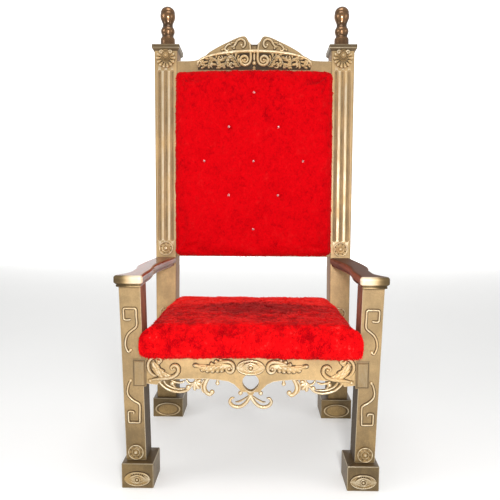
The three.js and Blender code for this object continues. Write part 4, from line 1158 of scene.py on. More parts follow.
def arm_skin():
    """An arm. Its plan is carried up through the moulding, drawn inwards at each level, and its underside
    and top close on the line midway between its two edges."""
    rear = SEAT_DEPTH + (ARM_TOP - ARM_UPPER - ARM_LOWER - SEAT_HEIGHT) * math.tan(LEAN) - GAP
    length = rear + ARM_NOSE

    def edge(points):
        given = np.asarray(points, float)
        x = SIDE + LEG_SPLAY * given[:, 0] + given[:, 1] * ARM_HALF
        path = smooth_path(np.stack([x, rear - given[:, 0] * length], axis=1), 1.0)
        travelled = np.linspace(0, 1, len(path))
        wanted = np.linspace(0, 1, 190) ** 0.8
        return np.stack([np.interp(wanted, travelled, path[:, k]) for k in range(2)], axis=1)

    inner, outer = edge(ARM_INNER), edge(ARM_OUTER)
    outline = np.concatenate([inner, outer[::-1]])
    heading = np.gradient(outline, axis=0)
    heading /= np.maximum(np.linalg.norm(heading, axis=1, keepdims=True), 1e-9)
    inwards = np.stack([-heading[:, 1], heading[:, 0]], axis=1)
    inwards[np.abs(outline[:, 1] - rear) < 1, 1] = 0
    base = ARM_TOP - ARM_UPPER - ARM_LOWER
    arc = np.linspace(0, np.pi / 2, 8)
    moulding = ARM_MOULDING + [[9 * (1 - math.cos(a)), 28 + 9 * math.sin(a), 1.0] for a in arc]
    levels = [[outline + inwards * inset, base + level, tone] for inset, level, tone in moulding]

    def closing(ring, steps):
        middle = (ring + ring[::-1]) / 2
        return [middle + (ring - middle) * (1 - step) for step in steps]

    low, top = levels[0], levels[-1]
    under = [[ring, low[1], 0.3] for ring in closing(low[0], np.linspace(1, 0.25, 4))]
    over = [[ring, top[1], 0.85] for ring in closing(top[0], np.linspace(0.15, 1, 6))]
    stack = under + levels + over
    rings = [np.column_stack([ring, np.full(len(ring), level)]) for ring, level, tone in stack]
    return loft(rings, np.array([tone for ring, level, tone in stack])[:, None], ends=False)


def make_arms():
    """Shaped and moulded arms with their gold front ends."""
    make_pair("shaped_arm", [arm_skin()], "mahogany", "arm", angle=35)


def make_seat_frame():
    """Rails, the seat board and the boards of the back keep their solids, with softened edges."""
    for node in ("side_rail_left", "side_rail_right", "rear_rail", "back_lower_rail"):
        dress_node(node, "flat_gold")
    for node in ("seat_board", "back_panel"):
        dress_node(node, "stained_timber")


# Apron points are [distance from the middle, distance below the top of the seat frame]
APRON_EDGE = [
    [303, 95], [299, 86], [277, 77], [210, 74], [131, 74], [99, 77], [73, 81],
    [53, 91], [38, 106], [30, 116], [12, 116], [8, 126], [0, 128],
]
APRON_HOLE = [[0, 57], [11, 59], [20, 65], [25.5, 74], [27, 84], [24.5, 94], [18, 103], [9, 111], [0, 114]]


def below(points):
    """Distances below the seat frame's top as heights."""
    given = np.asarray(points, float)
    return np.stack([given[:, 0], SEAT_HEIGHT - given[:, 1]], axis=1)


def board_strip(x, low, high, front, thickness, edge=2.0):
    """A board as sections along x: each is a rectangle from low to high whose front edges are rounded."""
    arc = np.linspace(0, np.pi / 2, 5)
    side = edge * (1 - np.cos(arc))
    lift = edge * (1 - np.sin(arc))
    depth = np.concatenate([[thickness], lift, [0, 0], lift[::-1], [thickness]])
    offset = np.concatenate([[0], side, [edge + MARGIN, edge + MARGIN], side[::-1], [0]])
    upper = np.repeat([False, True], 7)
    tone = np.concatenate([[0.2, 0.5, 0.8, 1, 1, 0.9, 0.55], [0.55, 0.9, 1, 1, 0.8, 0.5, 0.2]])
    room = np.maximum(0, (high - low) / 2 - 0.05)[:, None]
    offset = np.minimum(offset[None, :], room)
    z = np.where(upper[None, :], high[:, None] - offset, low[:, None] + offset)
    xs = np.broadcast_to(x[:, None], z.shape)
    ys = np.broadcast_to(front + depth[None, :], z.shape)
    return loft(np.stack([xs, ys, z], axis=-1), tone[None, :])


def apron_board():
    """The shaped apron board in four strips, left, right, over and under its drop-shaped opening."""
    edge = even_path(below(APRON_EDGE), 3)
    edge = edge[np.argsort(edge[:, 0])]
    hole = smooth_path(below(APRON_HOLE), 1.5)
    widest = hole[:, 0].max()
    top_half = hole[:hole[:, 0].argmax() + 1]
    low_half = hole[hole[:, 0].argmax():][::-1]
    end_drop = 90
    end_height = SEAT_HEIGHT - end_drop
    outer_x = leg_centre(SEAT_HEIGHT) - leg_width(SEAT_HEIGHT) / 2 - GAP
    inner_x = leg_centre(end_height) - leg_width(end_height) / 2 - GAP
    xs = np.unique(np.concatenate([np.linspace(widest, 120, 50), np.linspace(120, 296, 40),
                                   np.linspace(296, 304, 12), np.linspace(304, outer_x, 10)]))
    low = np.interp(xs, np.append(edge[:, 0], inner_x), np.append(edge[:, 1], end_height))
    # Past the leg's lower inner corner, the end of the board follows the leg's slant
    slant = SEAT_HEIGHT - end_drop * (outer_x - xs) / (outer_x - inner_x)
    low = np.minimum(np.where(xs > inner_x, slant, low), SEAT_HEIGHT - 0.2)
    right = board_strip(xs, low, np.full_like(xs, SEAT_HEIGHT), APRON_RECESS, APRON_THICKNESS)
    middle = np.linspace(-widest, widest, 49)
    over = np.interp(np.abs(middle), top_half[:, 0], top_half[:, 1])
    under = np.interp(np.abs(middle), low_half[:, 0], low_half[:, 1])
    base = np.interp(np.abs(middle), edge[:, 0], edge[:, 1])
    lower = board_strip(middle, base, np.maximum(under, base + 0.5), APRON_RECESS, APRON_THICKNESS, 1.5)
    upper = board_strip(middle, over, np.full_like(middle, SEAT_HEIGHT), APRON_RECESS, APRON_THICKNESS)
    return [right, *on_side(-1, [right]), upper, lower]


def fretwork():
    """Half of the cast fretwork: free strands and balls hanging from the lower edge of the board."""
    def bar(points, width, start=0.5, end=0.5):
        return bead(below(points), width, FRET_RISE, start, end, free=True)

    def knob(x, drop, size):
        return ball(x, SEAT_HEIGHT - drop, size, FRET_RISE + 1)

    return [
        bar([[302, 78], [292, 94], [274, 109], [252, 117], [228, 119], [207, 113], [196, 101], [184, 90],
             [176, 68]], 9, 0.9, 0.9),
        bar([[286, 74], [277, 92], [258, 104], [236, 109], [213, 108]], 7, 0.9),
        bar([[250, 112], [247, 104], [256, 93]], 6, 1, 1),
        knob(256, 91, 15), knob(204, 104, 17),
        *[bar([[184, 88], tip], 13, 0.5, 0.9) for tip in ([160, 78], [158, 94], [166, 110], [182, 116])],
        bar([[212, 76], [200, 90], [184, 88], [178, 72]], 8, 0.8, 0.8), knob(182, 90, 17),
        bar([[262, 78], [246, 86], [228, 88], [214, 82]], 7, 0.8, 0.6),
        bar([[136, 68], [146, 84], [151, 102], [146, 118], [134, 127], [124, 120]], 14, 1, 0.9),
        bar([[150, 76], [160, 92], [158, 112], [150, 124]], 7, 0.9, 0.6),
        knob(126, 119, 17),
        bar([[97, 70], [107, 78], [107, 88]], 9, 1, 1),
        knob(108, 89, 14),
        bar([[8, 112], [22, 110], [32, 116]], 8, 1, 1),
        knob(33, 121, 15),
        bar([[-2, 124], [5, 139], [16, 155], [31, 166], [46, 168], [61, 162], [68, 150], [62, 139],
             [52, 139]], 12, 1, 0.5),
        bar([[4, 130], [22, 142], [38, 150], [50, 152]], 6, 0.9, 0.5),
    ]


def outlined(start, tip, width, rise):
    """A petal and, under it, a thin flange in the darkest tone that shows as its outline: glaze and painted
    shade round the petal.
    """
    start, tip = np.asarray(start, float), np.asarray(tip, float)
    way = (tip - start) / np.linalg.norm(tip - start)
    flange = finger(start - way * 2, tip + way * 2.4, width + 5, 1.4)
    return [finger(start, tip, width, rise), flange._replace(relief=np.full(len(flange.points), 0.06))]


def fingers(level, pairs, width, rise):
    """Outlined petals between pairs of points. Level turns them into points of the front plane."""
    return [skin for pair in pairs for skin in outlined(*level(pair), width, rise)]


def bold_strand(path, width, rise, start, end):
    """A bold rounded strand with a shallow groove and a dark flange of glaze and painted shade."""
    return bead(path, width, rise, start, end, skirt=2.2, hollow=0.12)


def apron_spray(rise):
    """A fat leaf that grows from a thin tip towards the middle and ends in a curl. It has lobes above, below
    and on its body."""
    body = [[186, 27], [172, 29], [150, 35], [130, 37], [112, 32], [90, 30], [70, 32], [60, 38]]
    stem = [[120, 26], [104, 18], [86, 14], [70, 14], [58, 22], [55, 36], [62, 48], [74, 47], [79, 37],
            [71, 32]]
    lower = [[[140, 33], [162, 44]], [[127, 31], [144, 49]], [[113, 29], [127, 50]], [[99, 27], [110, 50]],
             [[87, 26], [95, 48]]]
    middle = [[[152, 33], [186, 26]], [[136, 32], [164, 33]], [[120, 28], [146, 33]],
              [[106, 26], [128, 34]], [[92, 25], [111, 33]]]
    upper = [[[116, 25], [132, 21]], [[100, 20], [117, 12]], [[86, 18], [101, 6]]]
    return [
        bead(below(body), 21, rise * 0.6, 0.2, 0.8),
        *fingers(below, lower, 15, rise),
        *fingers(below, upper, 13, rise * 0.9),
        *fingers(below, middle, 13, rise * 1.15),
        bold_strand(below(stem), 11, rise * 1.2, 0.5, 0.6),
        dome(70, SEAT_HEIGHT - 36, 13, 13, rise * 1.35),
    ]


def apron_corner(rise):
    """A leaf scroll that fills the corner of the apron: a bold strand, long lobes that sweep down inside its
    bend, and a leaf along the lower edge that ends in a larger curl."""
    body = [[316, 12], [312, 30], [300, 48], [276, 62], [256, 66]]
    lobes = [[[309, 6], [295, 24]], [[317, 14], [297, 40]], [[321, 26], [300, 52]], [[321, 38], [295, 62]],
             [[314, 50], [284, 68]], [[304, 34], [281, 53]], [[300, 48], [270, 65]]]
    bend = [[300, 20], [291, 15], [290, 6], [299, 1], [312, 1], [325, 9], [332, 24], [330, 41], [320, 56],
            [305, 64]]
    lower = [[325, 77], [306, 73], [284, 71], [264, 69], [245, 61], [234, 46], [237, 31], [249, 27],
             [258, 36], [250, 45]]
    return [
        bead(below(body), 20, rise * 0.6, 0.6, 0.6),
        *fingers(below, lobes, 15, rise),
        bold_strand(below(bend), 10, rise * 1.2, 0.7, 0.5),
        bold_strand(below(lower), 12, rise * 1.25, 0.4, 0.6),
        dome(248, SEAT_HEIGHT - 38, 11, 11, rise * 1.35),
        dome(297, SEAT_HEIGHT - 14, 12, 12, rise * 1.1),
        dome(326, SEAT_HEIGHT - 79, 15, 13, rise),
    ]


def make_apron():
    """The apron with its opening and fretwork, and the carvings applied to it."""
    rise = bpy.context.scene.throne_sizes.carving * 1000 - 1
    face = APRON_RECESS - GAP
    cast = APRON_RECESS + FRET_RISE + 2
    half = shift_all(fretwork(), y=cast)
    drop = [ball(0, SEAT_HEIGHT - 127, 16, FRET_RISE), ball(0, SEAT_HEIGHT - 140, 9, FRET_RISE * 0.8)]
    skins = [*apron_board(), *half, *on_side(-1, half), *shift_all(drop, y=cast)]
    make_piece("apron_with_fretwork", skins, "gold", ["front_apron"])
    eye = shift_all(eye_relief(92, 49, 10), 0, face, SEAT_HEIGHT - 33)
    make_piece("apron_eye_plaque", eye, "gold", ["apron_eye"])
    make_pair("apron_leaf_spray", shift_all(apron_spray(rise), y=face), "gold", "apron_spray")
    make_pair("apron_corner_leaf", shift_all(apron_corner(rise), y=face), "gold",
              "apron_corner_scroll")


# Crest points are [distance from the middle, height above the shoulder]
CREST_RISE = [
    [250, 3], [212, 20], [187, 40], [145, 64], [103, 84], [82, 94], [60, 102], [42, 104], [33, 98],
    [25, 84], [16, 72], [0, 68],
]
CREST_ARCH = [[238, -14], [230, 2], [198, 17], [158, 27], [115, 33], [60, 38], [0, 40]]


def above(points):
    """Heights above the shoulder as heights above the floor."""
    given = np.asarray(points, float)
    return np.stack([given[:, 0], CREST_SHOULDER + given[:, 1]], axis=1)


def crest_board():
    """The scrolled crest board, as sections along x under its upper edge."""
    half = SIDE - post_half(CREST_SHOULDER) - GAP
    edge = smooth_path(above([[half, 0], *CREST_RISE]), 2)[::-1]
    xs = np.unique(np.concatenate([np.linspace(0, 60, 60), np.linspace(60, half, 70)]))
    high = np.interp(xs, edge[:, 0], edge[:, 1])
    xs = np.concatenate([-xs[:0:-1], xs])
    high = np.concatenate([high[:0:-1], high])
    low = np.full_like(xs, CREST_BOTTOM)
    return board_strip(xs, low, high, 0, CREST_THICKNESS, 2.5)


def lunette(rise):
    """A thin plate behind the crest carving, under the arch, in the darkest tone: glaze and painted shade in
    the ground between the carving.
    """
    base = PAD_TOP + 6
    arch = smooth_path(above(CREST_ARCH), 4)[::-1]
    reach = CREST_ARCH[0][0]
    xs = np.linspace(-reach, reach, 121)
    high = np.interp(np.abs(xs), arch[:, 0], arch[:, 1])
    strip = board_strip(xs, np.full_like(xs, base), np.maximum(high, base + 1), -rise, rise, 0.6)
    # Zero tone gives the plate the dark glaze colour as painted shade
    return strip._replace(relief=np.zeros(len(strip.points)))


def crest_foliage(rise):
    """Half of a leaf scroll under the arch: a winding stem with lobes on both sides, held inside the
    lunette. The lobes vary in length and direction along the stem."""
    stem = smooth_path(above([
        [58, -26], [70, -8], [86, 16], [106, 18], [118, 2], [122, -16], [138, -26],
        [154, -16], [160, 4], [176, 10], [190, -2], [196, -18], [210, -24], [224, -14],
    ]), 7.5)
    arch = smooth_path(above(CREST_ARCH), 3)[::-1]
    heading = np.gradient(stem, axis=0)
    heading /= np.linalg.norm(heading, axis=1, keepdims=True)
    skins = [bead(stem, 4, rise * 0.8, 0.8, 0.4)]
    for number, ((x, z), (run, climb)) in enumerate(zip(stem, heading)):
        length = 24 + 5 * math.sin(1.7 * number)
        for turn in (-0.85 + 0.35 * math.sin(3.1 * number), 0.85 + 0.35 * math.sin(2.3 * number)):
            cos, sin = math.cos(turn), math.sin(turn)
            way = np.array([run * cos - climb * sin, run * sin + climb * cos])
            tip = np.array([x, z]) + way * length
            tip[0] = min(tip[0], 236)
            ceiling = np.interp(tip[0], arch[:, 0], arch[:, 1]) - 5
            tip[1] = np.clip(tip[1], CREST_SHOULDER - 33, ceiling)
            if math.hypot(tip[0] - x, tip[1] - z) > 9:
                skins.append(finger((x, z), tip, 9.5, rise * 1.3, 0.0))
    return skins


def crest_carving(rise):
    """Half of the carving under the arch: a volute by the middle, small curls and the foliage."""
    def bar(points, width, start=0.5, end=0.5, lift=1.0):
        return bead(above(points), width, rise * lift, start, end, hollow=0.12)

    return [
        *crest_foliage(rise),
        bar([[21, 76], [17, 54], [15, 26], *spiral(40, 3, 25, 6, 0.5, 1.6)], 11, 0.9, 0.6, 1.35),
        dome(40, CREST_SHOULDER + 3, 13, 13, rise * 1.45),
        bar([[62, 32], [76, 34], [92, 34]], 8),
        bar([[84, -26], [96, -30], [104, -20], [97, -10], [88, -16]], 7, 0.6, 0.6, 1.2),
        bar([[140, 22], [134, 12], [140, 2], [150, 6], [148, 14]], 7, 0.6, 0.6, 1.2),
        bar([[176, -30], [184, -22], [180, -12], [172, -16]], 7, 0.6, 0.6, 1.2),
        bar([[238, -22], [240, -8], [231, -3], [224, -9], [229, -16]], 8, 0.8, 0.6, 1.2),
        dome(97, CREST_SHOULDER - 19, 8, 8, rise * 1.3),
        dome(142, CREST_SHOULDER + 10, 8, 8, rise * 1.3),
    ]


def crest_spray(rise):
    """A bold scroll and leaf on the crest above the arch."""
    scroll = [[56, 60], [47, 56], [39, 66], [42, 82], [56, 90], [72, 83], [80, 69], [90, 58], [100, 58]]
    end = [[96, 68], [108, 68], [120, 58], [124, 46], [114, 41], [108, 48]]
    lobes = [[[80, 76], [100, 74]], [[84, 64], [86, 48]], [[122, 52], [140, 44]]]
    return [
        bold_strand(above(scroll), 10, rise * 1.2, 0.6, 0.5),
        bead(above(end), 9, rise * 1.1, 0.5, 0.7, skirt=2.2),
        *fingers(above, lobes, 10, rise),
        dome(55, CREST_SHOULDER + 66, 12, 12, rise * 1.1),
    ]


def make_crest():
    """The crest board, the carving in its lunette and the sprays above."""
    rise = bpy.context.scene.throne_sizes.carving * 1000
    make_piece("crest_board", [crest_board()], "crest_gold", ["crest_rail"], True)
    half = crest_carving(rise)
    whole_arch = CREST_ARCH + [[-x, lift] for x, lift in CREST_ARCH[-2::-1]]
    keystone = bevelled_plate(34, 32, rise)
    middle = [
        bead(above(whole_arch), 14, rise * 1.3, 0.7, 0.7, skirt=2.5, hollow=0.05),
        moved(keystone._replace(relief=keystone.relief * 0.22), 0, 0, CREST_SHOULDER + 52),
        *[dome(x, CREST_SHOULDER + lift, 9, 9, rise + 3) for x, lift in ((-9, 36), (9, 36), (0, 33))],
        bead(above([[0, 30], [0, 0]]), 10, rise, 1, 1),
        dome(0, CREST_SHOULDER - 10, 18, 18, rise + 1),
        leaf(above([[0, -42], [0, -30], [0, -20]]), 16, rise, 2),
    ]
    skins = shift_all([lunette(2.5), *half, *on_side(-1, half), *middle], y=-GAP)
    make_piece("crest_leafwork", skins, "gold", ["crest_carving"], True)
    spray = shift_all(crest_spray(rise * 0.8), y=-GAP)
    make_pair("crest_scroll", spray, "gold", "crest_spray", True)


# Upholstery

def mesh_arrays(mesh):
    """Points and normals of a mesh as arrays."""
    return gathered(mesh.vertices, "co", 3), gathered(mesh.vertices, "normal", 3)


def move_points(mesh, points):
    """Puts the mesh's points at new places."""
    mesh.vertices.foreach_set("co", points.ravel())
    mesh.update()


def stuffed_piece(name, node, voxel, shrink, pull):
    """A stuffed piece: the solid is copied, remeshed evenly, drawn in a little, and then swollen by
    simulated cloth under pressure, no further than the swell allows. Pull gives each point's pinning and
    how far it is moved first."""
    sizes = bpy.context.scene.throne_sizes
    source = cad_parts[node]
    piece = bpy.data.objects.new(name, source.data.copy())
    bpy.context.scene.collection.objects.link(piece)
    bpy.context.view_layer.objects.active = piece
    add_weld(piece)
    remesh = piece.modifiers.new("Remesh", "REMESH")
    remesh.mode = "VOXEL"
    remesh.voxel_size = voxel
    apply_modifiers(piece)
    points, normals = mesh_arrays(piece.data)
    points = points - normals * shrink
    pins, shift = pull(points)
    points = points + shift
    move_points(piece.data, points)
    settle(piece, pins, sizes.frames)
    after = mesh_arrays(piece.data)[0]
    travel = after - points
    length = np.linalg.norm(travel, axis=1, keepdims=True)
    capped = points + travel * np.minimum(1, sizes.swell / np.maximum(length, 1e-9))
    move_points(piece.data, capped)
    finer = piece.modifiers.new("Finer", "SUBSURF")
    finer.levels = 1
    finer.render_levels = 1
    apply_modifiers(piece)
    return piece


def settle(piece, pins, frames):
    """Runs the cloth under pressure for some frames and keeps its last shape."""
    group = piece.vertex_groups.new(name="pinned")
    for index in np.nonzero(pins)[0]:
        group.add([int(index)], float(pins[index]), "REPLACE")
    cloth = piece.modifiers.new("Cloth", "CLOTH")
    cloth.settings.quality = 4
    cloth.settings.mass = 0.3
    cloth.settings.tension_stiffness = 12
    cloth.settings.compression_stiffness = 12
    cloth.settings.bending_stiffness = 0.8
    cloth.settings.use_pressure = True
    cloth.settings.uniform_pressure_force = 4
    cloth.settings.vertex_group_mass = "pinned"
    cloth.settings.effector_weights.gravity = 0
    cloth.collision_settings.use_collision = False
    scene = bpy.context.scene
    cloth.point_cache.frame_end = frames
    for moment in range(1, frames + 1):
        scene.frame_set(moment)
    apply_modifiers(piece)
    scene.frame_set(1)


def apply_modifiers(piece):
    """Replaces the mesh by its evaluated one and clears the modifiers."""
    bpy.context.view_layer.update()
    graph = bpy.context.evaluated_depsgraph_get()
    made = bpy.data.meshes.new_from_object(piece.evaluated_get(graph), depsgraph=graph)
    piece.modifiers.clear()
    piece.data = made


def crush(points, normals, pile, seed):
    """Raises the surface into crushed tufts: noise at three sizes moves each point along its normal."""
    lumps = lattice_noise(points, 0.034, seed) * 0.8
    lumps += lattice_noise(points, 0.015, seed + 1) * 0.65
    lumps += lattice_noise(points, 0.0075, seed + 2) * 0.5
    return points + normals * (lumps * pile * 0.5)[:, None], np.clip(0.45 + 0.4 * lumps, 0, 1)


def pile_blades(centres, normals, areas, count, length, seed):
    """Short blades of pile spread evenly over the faces, combed down and forwards and ruffled in clumps."""
    random = np.random.default_rng(seed)
    picked = random.choice(len(areas), count, p=areas / areas.sum())
    out = normals[picked]
    jitter = (random.random((count, 3)) - 0.5) * 1.4 * np.sqrt(areas[picked])[:, None]
    jitter -= out * (jitter * out).sum(axis=1, keepdims=True)
    root = centres[picked] + jitter
    comb = np.array([0.0, -0.5, -1.0]) + 0.3 * random.normal(size=(count, 3))
    comb += 0.9 * np.stack([lattice_noise(root, 0.028, seed + k) for k in (5, 6, 7)], axis=1)
    comb -= out * (comb * out).sum(axis=1, keepdims=True)
    comb /= np.linalg.norm(comb, axis=1, keepdims=True)
    rise = (0.32 + 0.22 * lattice_noise(root, 0.012, seed + 8))[:, None]
    size = length * (0.7 + 0.6 * random.random((count, 1)))
    tip = root + (comb * np.sqrt(1 - rise ** 2) + out * rise) * size
    half = np.cross(out, comb) * size * 0.15
    return np.stack([root + half - out * 0.0006, root - half - out * 0.0006, tip], axis=1).reshape(-1, 3)


# Blades of pile on each padded piece, and the relief tones of a blade's two roots and tip
BLADES = 45000
# Dark roots stand for painted shade at the base of the pile, and pale tips for a painted highlight
BLADE_TONES = [0.1, 0.1, 0.95]


def finish_soft(piece, node, seed, blades=BLADES):
    sizes = bpy.context.scene.throne_sizes
    mesh = piece.data
    points, normals = mesh_arrays(mesh)
    points, relief = crush(points, normals, sizes.pile, seed)
    move_points(mesh, points)
    faces = np.empty(len(mesh.polygons) * 4, int)
    mesh.polygons.foreach_get("vertices", faces)
    centres, outs = gathered(mesh.polygons, "center", 3), gathered(mesh.polygons, "normal", 3)
    areas = gathered(mesh.polygons, "area", 1).ravel()
    tufts = pile_blades(centres, outs, areas, blades, sizes.pile * 2.2, seed)
    triangles = np.arange(len(tufts)).reshape(-1, 3) + len(points)
    furred = bpy.data.meshes.new(piece.name)
    every = faces.reshape(-1, 4).tolist() + triangles.tolist()
    furred.from_pydata(np.concatenate([points, tufts]).tolist(), [], every)
    tone = furred.attributes.new("relief", "FLOAT", "POINT")
    tones = np.concatenate([relief, np.tile(BLADE_TONES, blades)])
    tone.data.foreach_set("value", tones.astype(np.float32))
    furred.shade_smooth()
    furred.materials.append(finish_for("crushed_plush"))
    piece.data = furred
    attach(piece, "root")
    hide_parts(node)


def rounded_off(points, first, second, edges, radius):
    """Draws the corners between two axes in to a quarter circle. The edges are the piece's half extents
    along the axes."""
    over = [np.abs(points[:, axis]) - (edge - radius) for axis, edge in zip((first, second), edges)]
    reach = np.hypot(np.maximum(over[0], 0), np.maximum(over[1], 0))
    outside = (over[0] > 0) & (over[1] > 0) & (reach > radius)
    scale = np.where(outside, radius / np.maximum(reach, 1e-9), 1.0)
    made = points.copy()
    for axis, edge, beyond in zip((first, second), edges, over):
        drawn = np.sign(points[:, axis]) * (edge - radius + beyond * scale)
        made[:, axis] = np.where(outside, drawn, points[:, axis])
    return made


def make_cushion():
    """The thick seat cushion: crowned on top, full in front and at its upper side edges, higher at the
    back, with a rounded lip in front that bulges over the legs."""
    low, high = (np.array(corner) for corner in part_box("seat_cushion"))
    middle, half = (low + high) / 2, (high - low) / 2
    bulge, fullness, crown_rise = 0.008, 0.006, 0.008
    side_radius, front_radius = 0.036, 0.044
    # The front edge is rounded in a space that is squeezed from front to back, so that it falls slowly
    squeeze = 0.55

    def shape(points):
        local = points - middle
        share = local / half
        sideways = np.abs(share[:, 0])
        waist = np.clip(1 - share[:, 2] ** 2, 0, 1)
        lip = np.clip((LEG_FACE - 0.002 - points[:, 1]) / 0.01, 0, 1)
        corner = np.clip((sideways - 0.8) / 0.2, 0, 1)
        upper_edge = (1 - lip) * np.clip((sideways - 0.6) / 0.2, 0, 1) * np.clip(share[:, 2], 0, 1)
        full = np.where(share[:, 2] < 0, 1.0, waist)
        made = local.copy()
        made[:, 0] += np.sign(local[:, 0]) * (lip * corner * bulge * full + upper_edge * fullness)
        made[:, 2] += fullness * np.clip((share[:, 1] - 0.6) / 0.4, 0, 1) * (share[:, 2] > 0.4)
        rounded = rounded_off(made, 0, 2, (half[0] + bulge, half[2]), side_radius)
        upper = ((lip > 0) & (local[:, 2] > 0))[:, None]
        made = np.where(upper, rounded, made)
        made[:, 1] -= fullness * waist * np.clip((-share[:, 1] - 0.8) / 0.2, 0, 1)
        squeezed = np.array([1, squeeze, 1])
        edges = ((half[1] + 0.004) * squeeze, half[2])
        rounded = rounded_off(made * squeezed, 1, 2, edges, front_radius) / squeezed
        made = np.where(((local[:, 1] < 0) & (local[:, 2] > 0))[:, None], rounded, made)
        crown = np.clip(1 - share[:, 0] ** 2, 0, 1) * np.clip(1 - share[:, 1] ** 2, 0, 1)
        made[:, 2] += crown_rise * crown * (share[:, 2] > 0.4)
        return np.zeros(len(points)), made - local

    piece = stuffed_piece("plush_cushion", "seat_cushion", 0.0075, 0.002, shape)
    finish_soft(piece, "seat_cushion", 3)


def button_places():
    """The nine buttons of the diamond, from the top, in millimetres on the front of the pad."""
    return [[column * BUTTON_SPAN_X, -PAD_FRONT - GAP, BUTTON_MIDDLE + (2 - line) * BUTTON_SPAN_Z]
            for line, row in enumerate(BUTTON_ROWS) for column in row]


def make_back_pad():
    """The back pad, tufted where the nine buttons pull it in."""
    places = to_world(np.array(button_places(), float), True)
    tuft = bpy.context.scene.throne_sizes.tuft
    # The plane of the pad's back, which passes through this point and leans
    height = 1.0
    back = to_world(np.array([[0.0, 0.0, height * 1000]]), True)[0, 1]

    def pull(points):
        flat = points[:, None, [0, 2]] - places[None, :, [0, 2]]
        distance = np.linalg.norm(flat, axis=2).min(axis=1)
        slope = (points[:, 2] - height) * math.tan(LEAN)
        depth = back + slope - points[:, 1]
        front = np.clip((depth - 0.015) / 0.015, 0, 1)
        dip = np.exp(-(distance / 0.016) ** 2) * front
        behind = depth < 0.006
        pins = np.where(behind | ((distance < 0.006) & (front > 0.5)), 1.0, 0.0)
        shift = np.zeros_like(points)
        shift[:, 0] = points[:, 0] * 0.026
        shift[:, 1] = dip * tuft
        return pins, shift

    piece = stuffed_piece("plush_back_pad", "back_pad", 0.0065, 0.003, pull)
    finish_soft(piece, "back_pad", 11)


def make_buttons():
    """Nine cut crystal buttons, each a faceted dome over a small rim, sunk into the tufts."""
    sunk = bpy.context.scene.throne_sizes.tuft * 1000 * 0.8
    profile = [[0.001, 0], [5.4, 0], [5.4, 1.1], [4.1, 2.9], [2.3, 4.1], [0.001, 4.5]]
    gem = turned(profile, 10, tones=[0.5] * len(profile))
    for number, (x, y, z) in enumerate(button_places(), 1):
        make_piece(f"crystal_button_{number}", [moved(gem, x, y + sunk, z)], "crystal",
                   [f"back_button_{number}"], leaning=True, angle=10)


# Stage

CAMERA_PLACE = (0.0195, -1.9144, 0.9196)
CAMERA_PITCH, CAMERA_YAW, CAMERA_ROLL = 0.0864, -0.0151, -0.0056
CAMERA_LENS, CAMERA_SENSOR = 36.0, 36.0
# Half size of the floor, and the backdrop's distance, half width and height
FLOOR_SIZE = 6.0
SCREEN_Y, SCREEN_X, SCREEN_TOP = 5.9, 4.4, 4.6


def make_camera():
    """A camera at the photograph's height and distance, turned by pitch, yaw and roll."""
    pitch, yaw, roll = CAMERA_PITCH, CAMERA_YAW, CAMERA_ROLL
    forward = Vector((math.sin(yaw) * math.cos(pitch), math.cos(yaw) * math.cos(pitch), -math.sin(pitch)))
    level = Vector((math.cos(yaw), -math.sin(yaw), 0))
    plumb = Vector((math.sin(yaw) * math.sin(pitch), math.cos(yaw) * math.sin(pitch), math.cos(pitch)))
    right = level * math.cos(roll) - plumb * math.sin(roll)
    up = level * math.sin(roll) + plumb * math.cos(roll)
    data = bpy.data.cameras.new("camera")
    data.lens = CAMERA_LENS
    data.sensor_width = CAMERA_SENSOR
    camera = bpy.data.objects.new("camera", data)
    turn = Matrix((right, up, -forward)).transposed().to_4x4()
    camera.matrix_world = Matrix.Translation(CAMERA_PLACE) @ turn
    bpy.context.scene.collection.objects.link(camera)
    bpy.context.scene.camera = camera


def make_light(name, place, target, size, power):
    """A square soft light that points at a target."""
    data = bpy.data.lights.new(name, "AREA")
    data.shape = "SQUARE"
    data.size = size
    data.energy = power
    light = bpy.data.objects.new(name, data)
    aim = (Vector(target) - Vector(place)).to_track_quat("-Z", "Y")
    light.matrix_world = Matrix.Translation(place) @ aim.to_matrix().to_4x4()
    bpy.context.scene.collection.objects.link(light)


def make_sheet(name, corners, key):
    """A flat sheet of the stage."""
    mesh = bpy.data.meshes.new(name)
    mesh.from_pydata(corners, [], [(0, 1, 2, 3)])
    mesh.materials.append(finish_for(key))
    sheet = bpy.data.objects.new(name, mesh)
    bpy.context.scene.collection.objects.link(sheet)


def make_stage():
    """A pale floor, a lit backdrop, a white surround, a key light by the camera and soft side lights."""
    around = ((-1, -1), (1, -1), (1, 1), (-1, 1))
    make_sheet("floor", [(x * FLOOR_SIZE, y * FLOOR_SIZE, FLOOR) for x, y in around], "studio_floor")
    screen = [(x * SCREEN_X, SCREEN_Y, SCREEN_TOP if up > 0 else FLOOR) for x, up in around]
    make_sheet("backdrop", screen, "studio_backdrop")
    world = bpy.data.worlds.new("surround")
    world.use_nodes = True
    background = world.node_tree.nodes["Background"]
    background.inputs["Color"].default_value = WHITE
    background.inputs["Strength"].default_value = 0.5
    bpy.context.scene.world = world
    bpy.context.scene.view_settings.view_transform = "Standard"
    make_light("key", (0.2, -2.15, 1.15), (0, 0, 0.75), 0.3, 34)
    make_light("left", (-2.4, -0.9, 1.9), (0, 0, 0.8), 1.0, 12)
    make_light("right", (2.4, -0.9, 1.7), (0, 0, 0.9), 1.0, 5)
    make_light("top", (0, -0.5, 3.0), (0, -0.1, 0.5), 1.0, 10)


# Operators: one for each group of like pieces

class THRONE_OT_stage(bpy.types.Operator):
    """Make the camera, floor and lights"""
    bl_idname = "throne.stage"
    bl_label = "Stage"

    def execute(self, context):
        make_camera()
        make_stage()
        return {"FINISHED"}


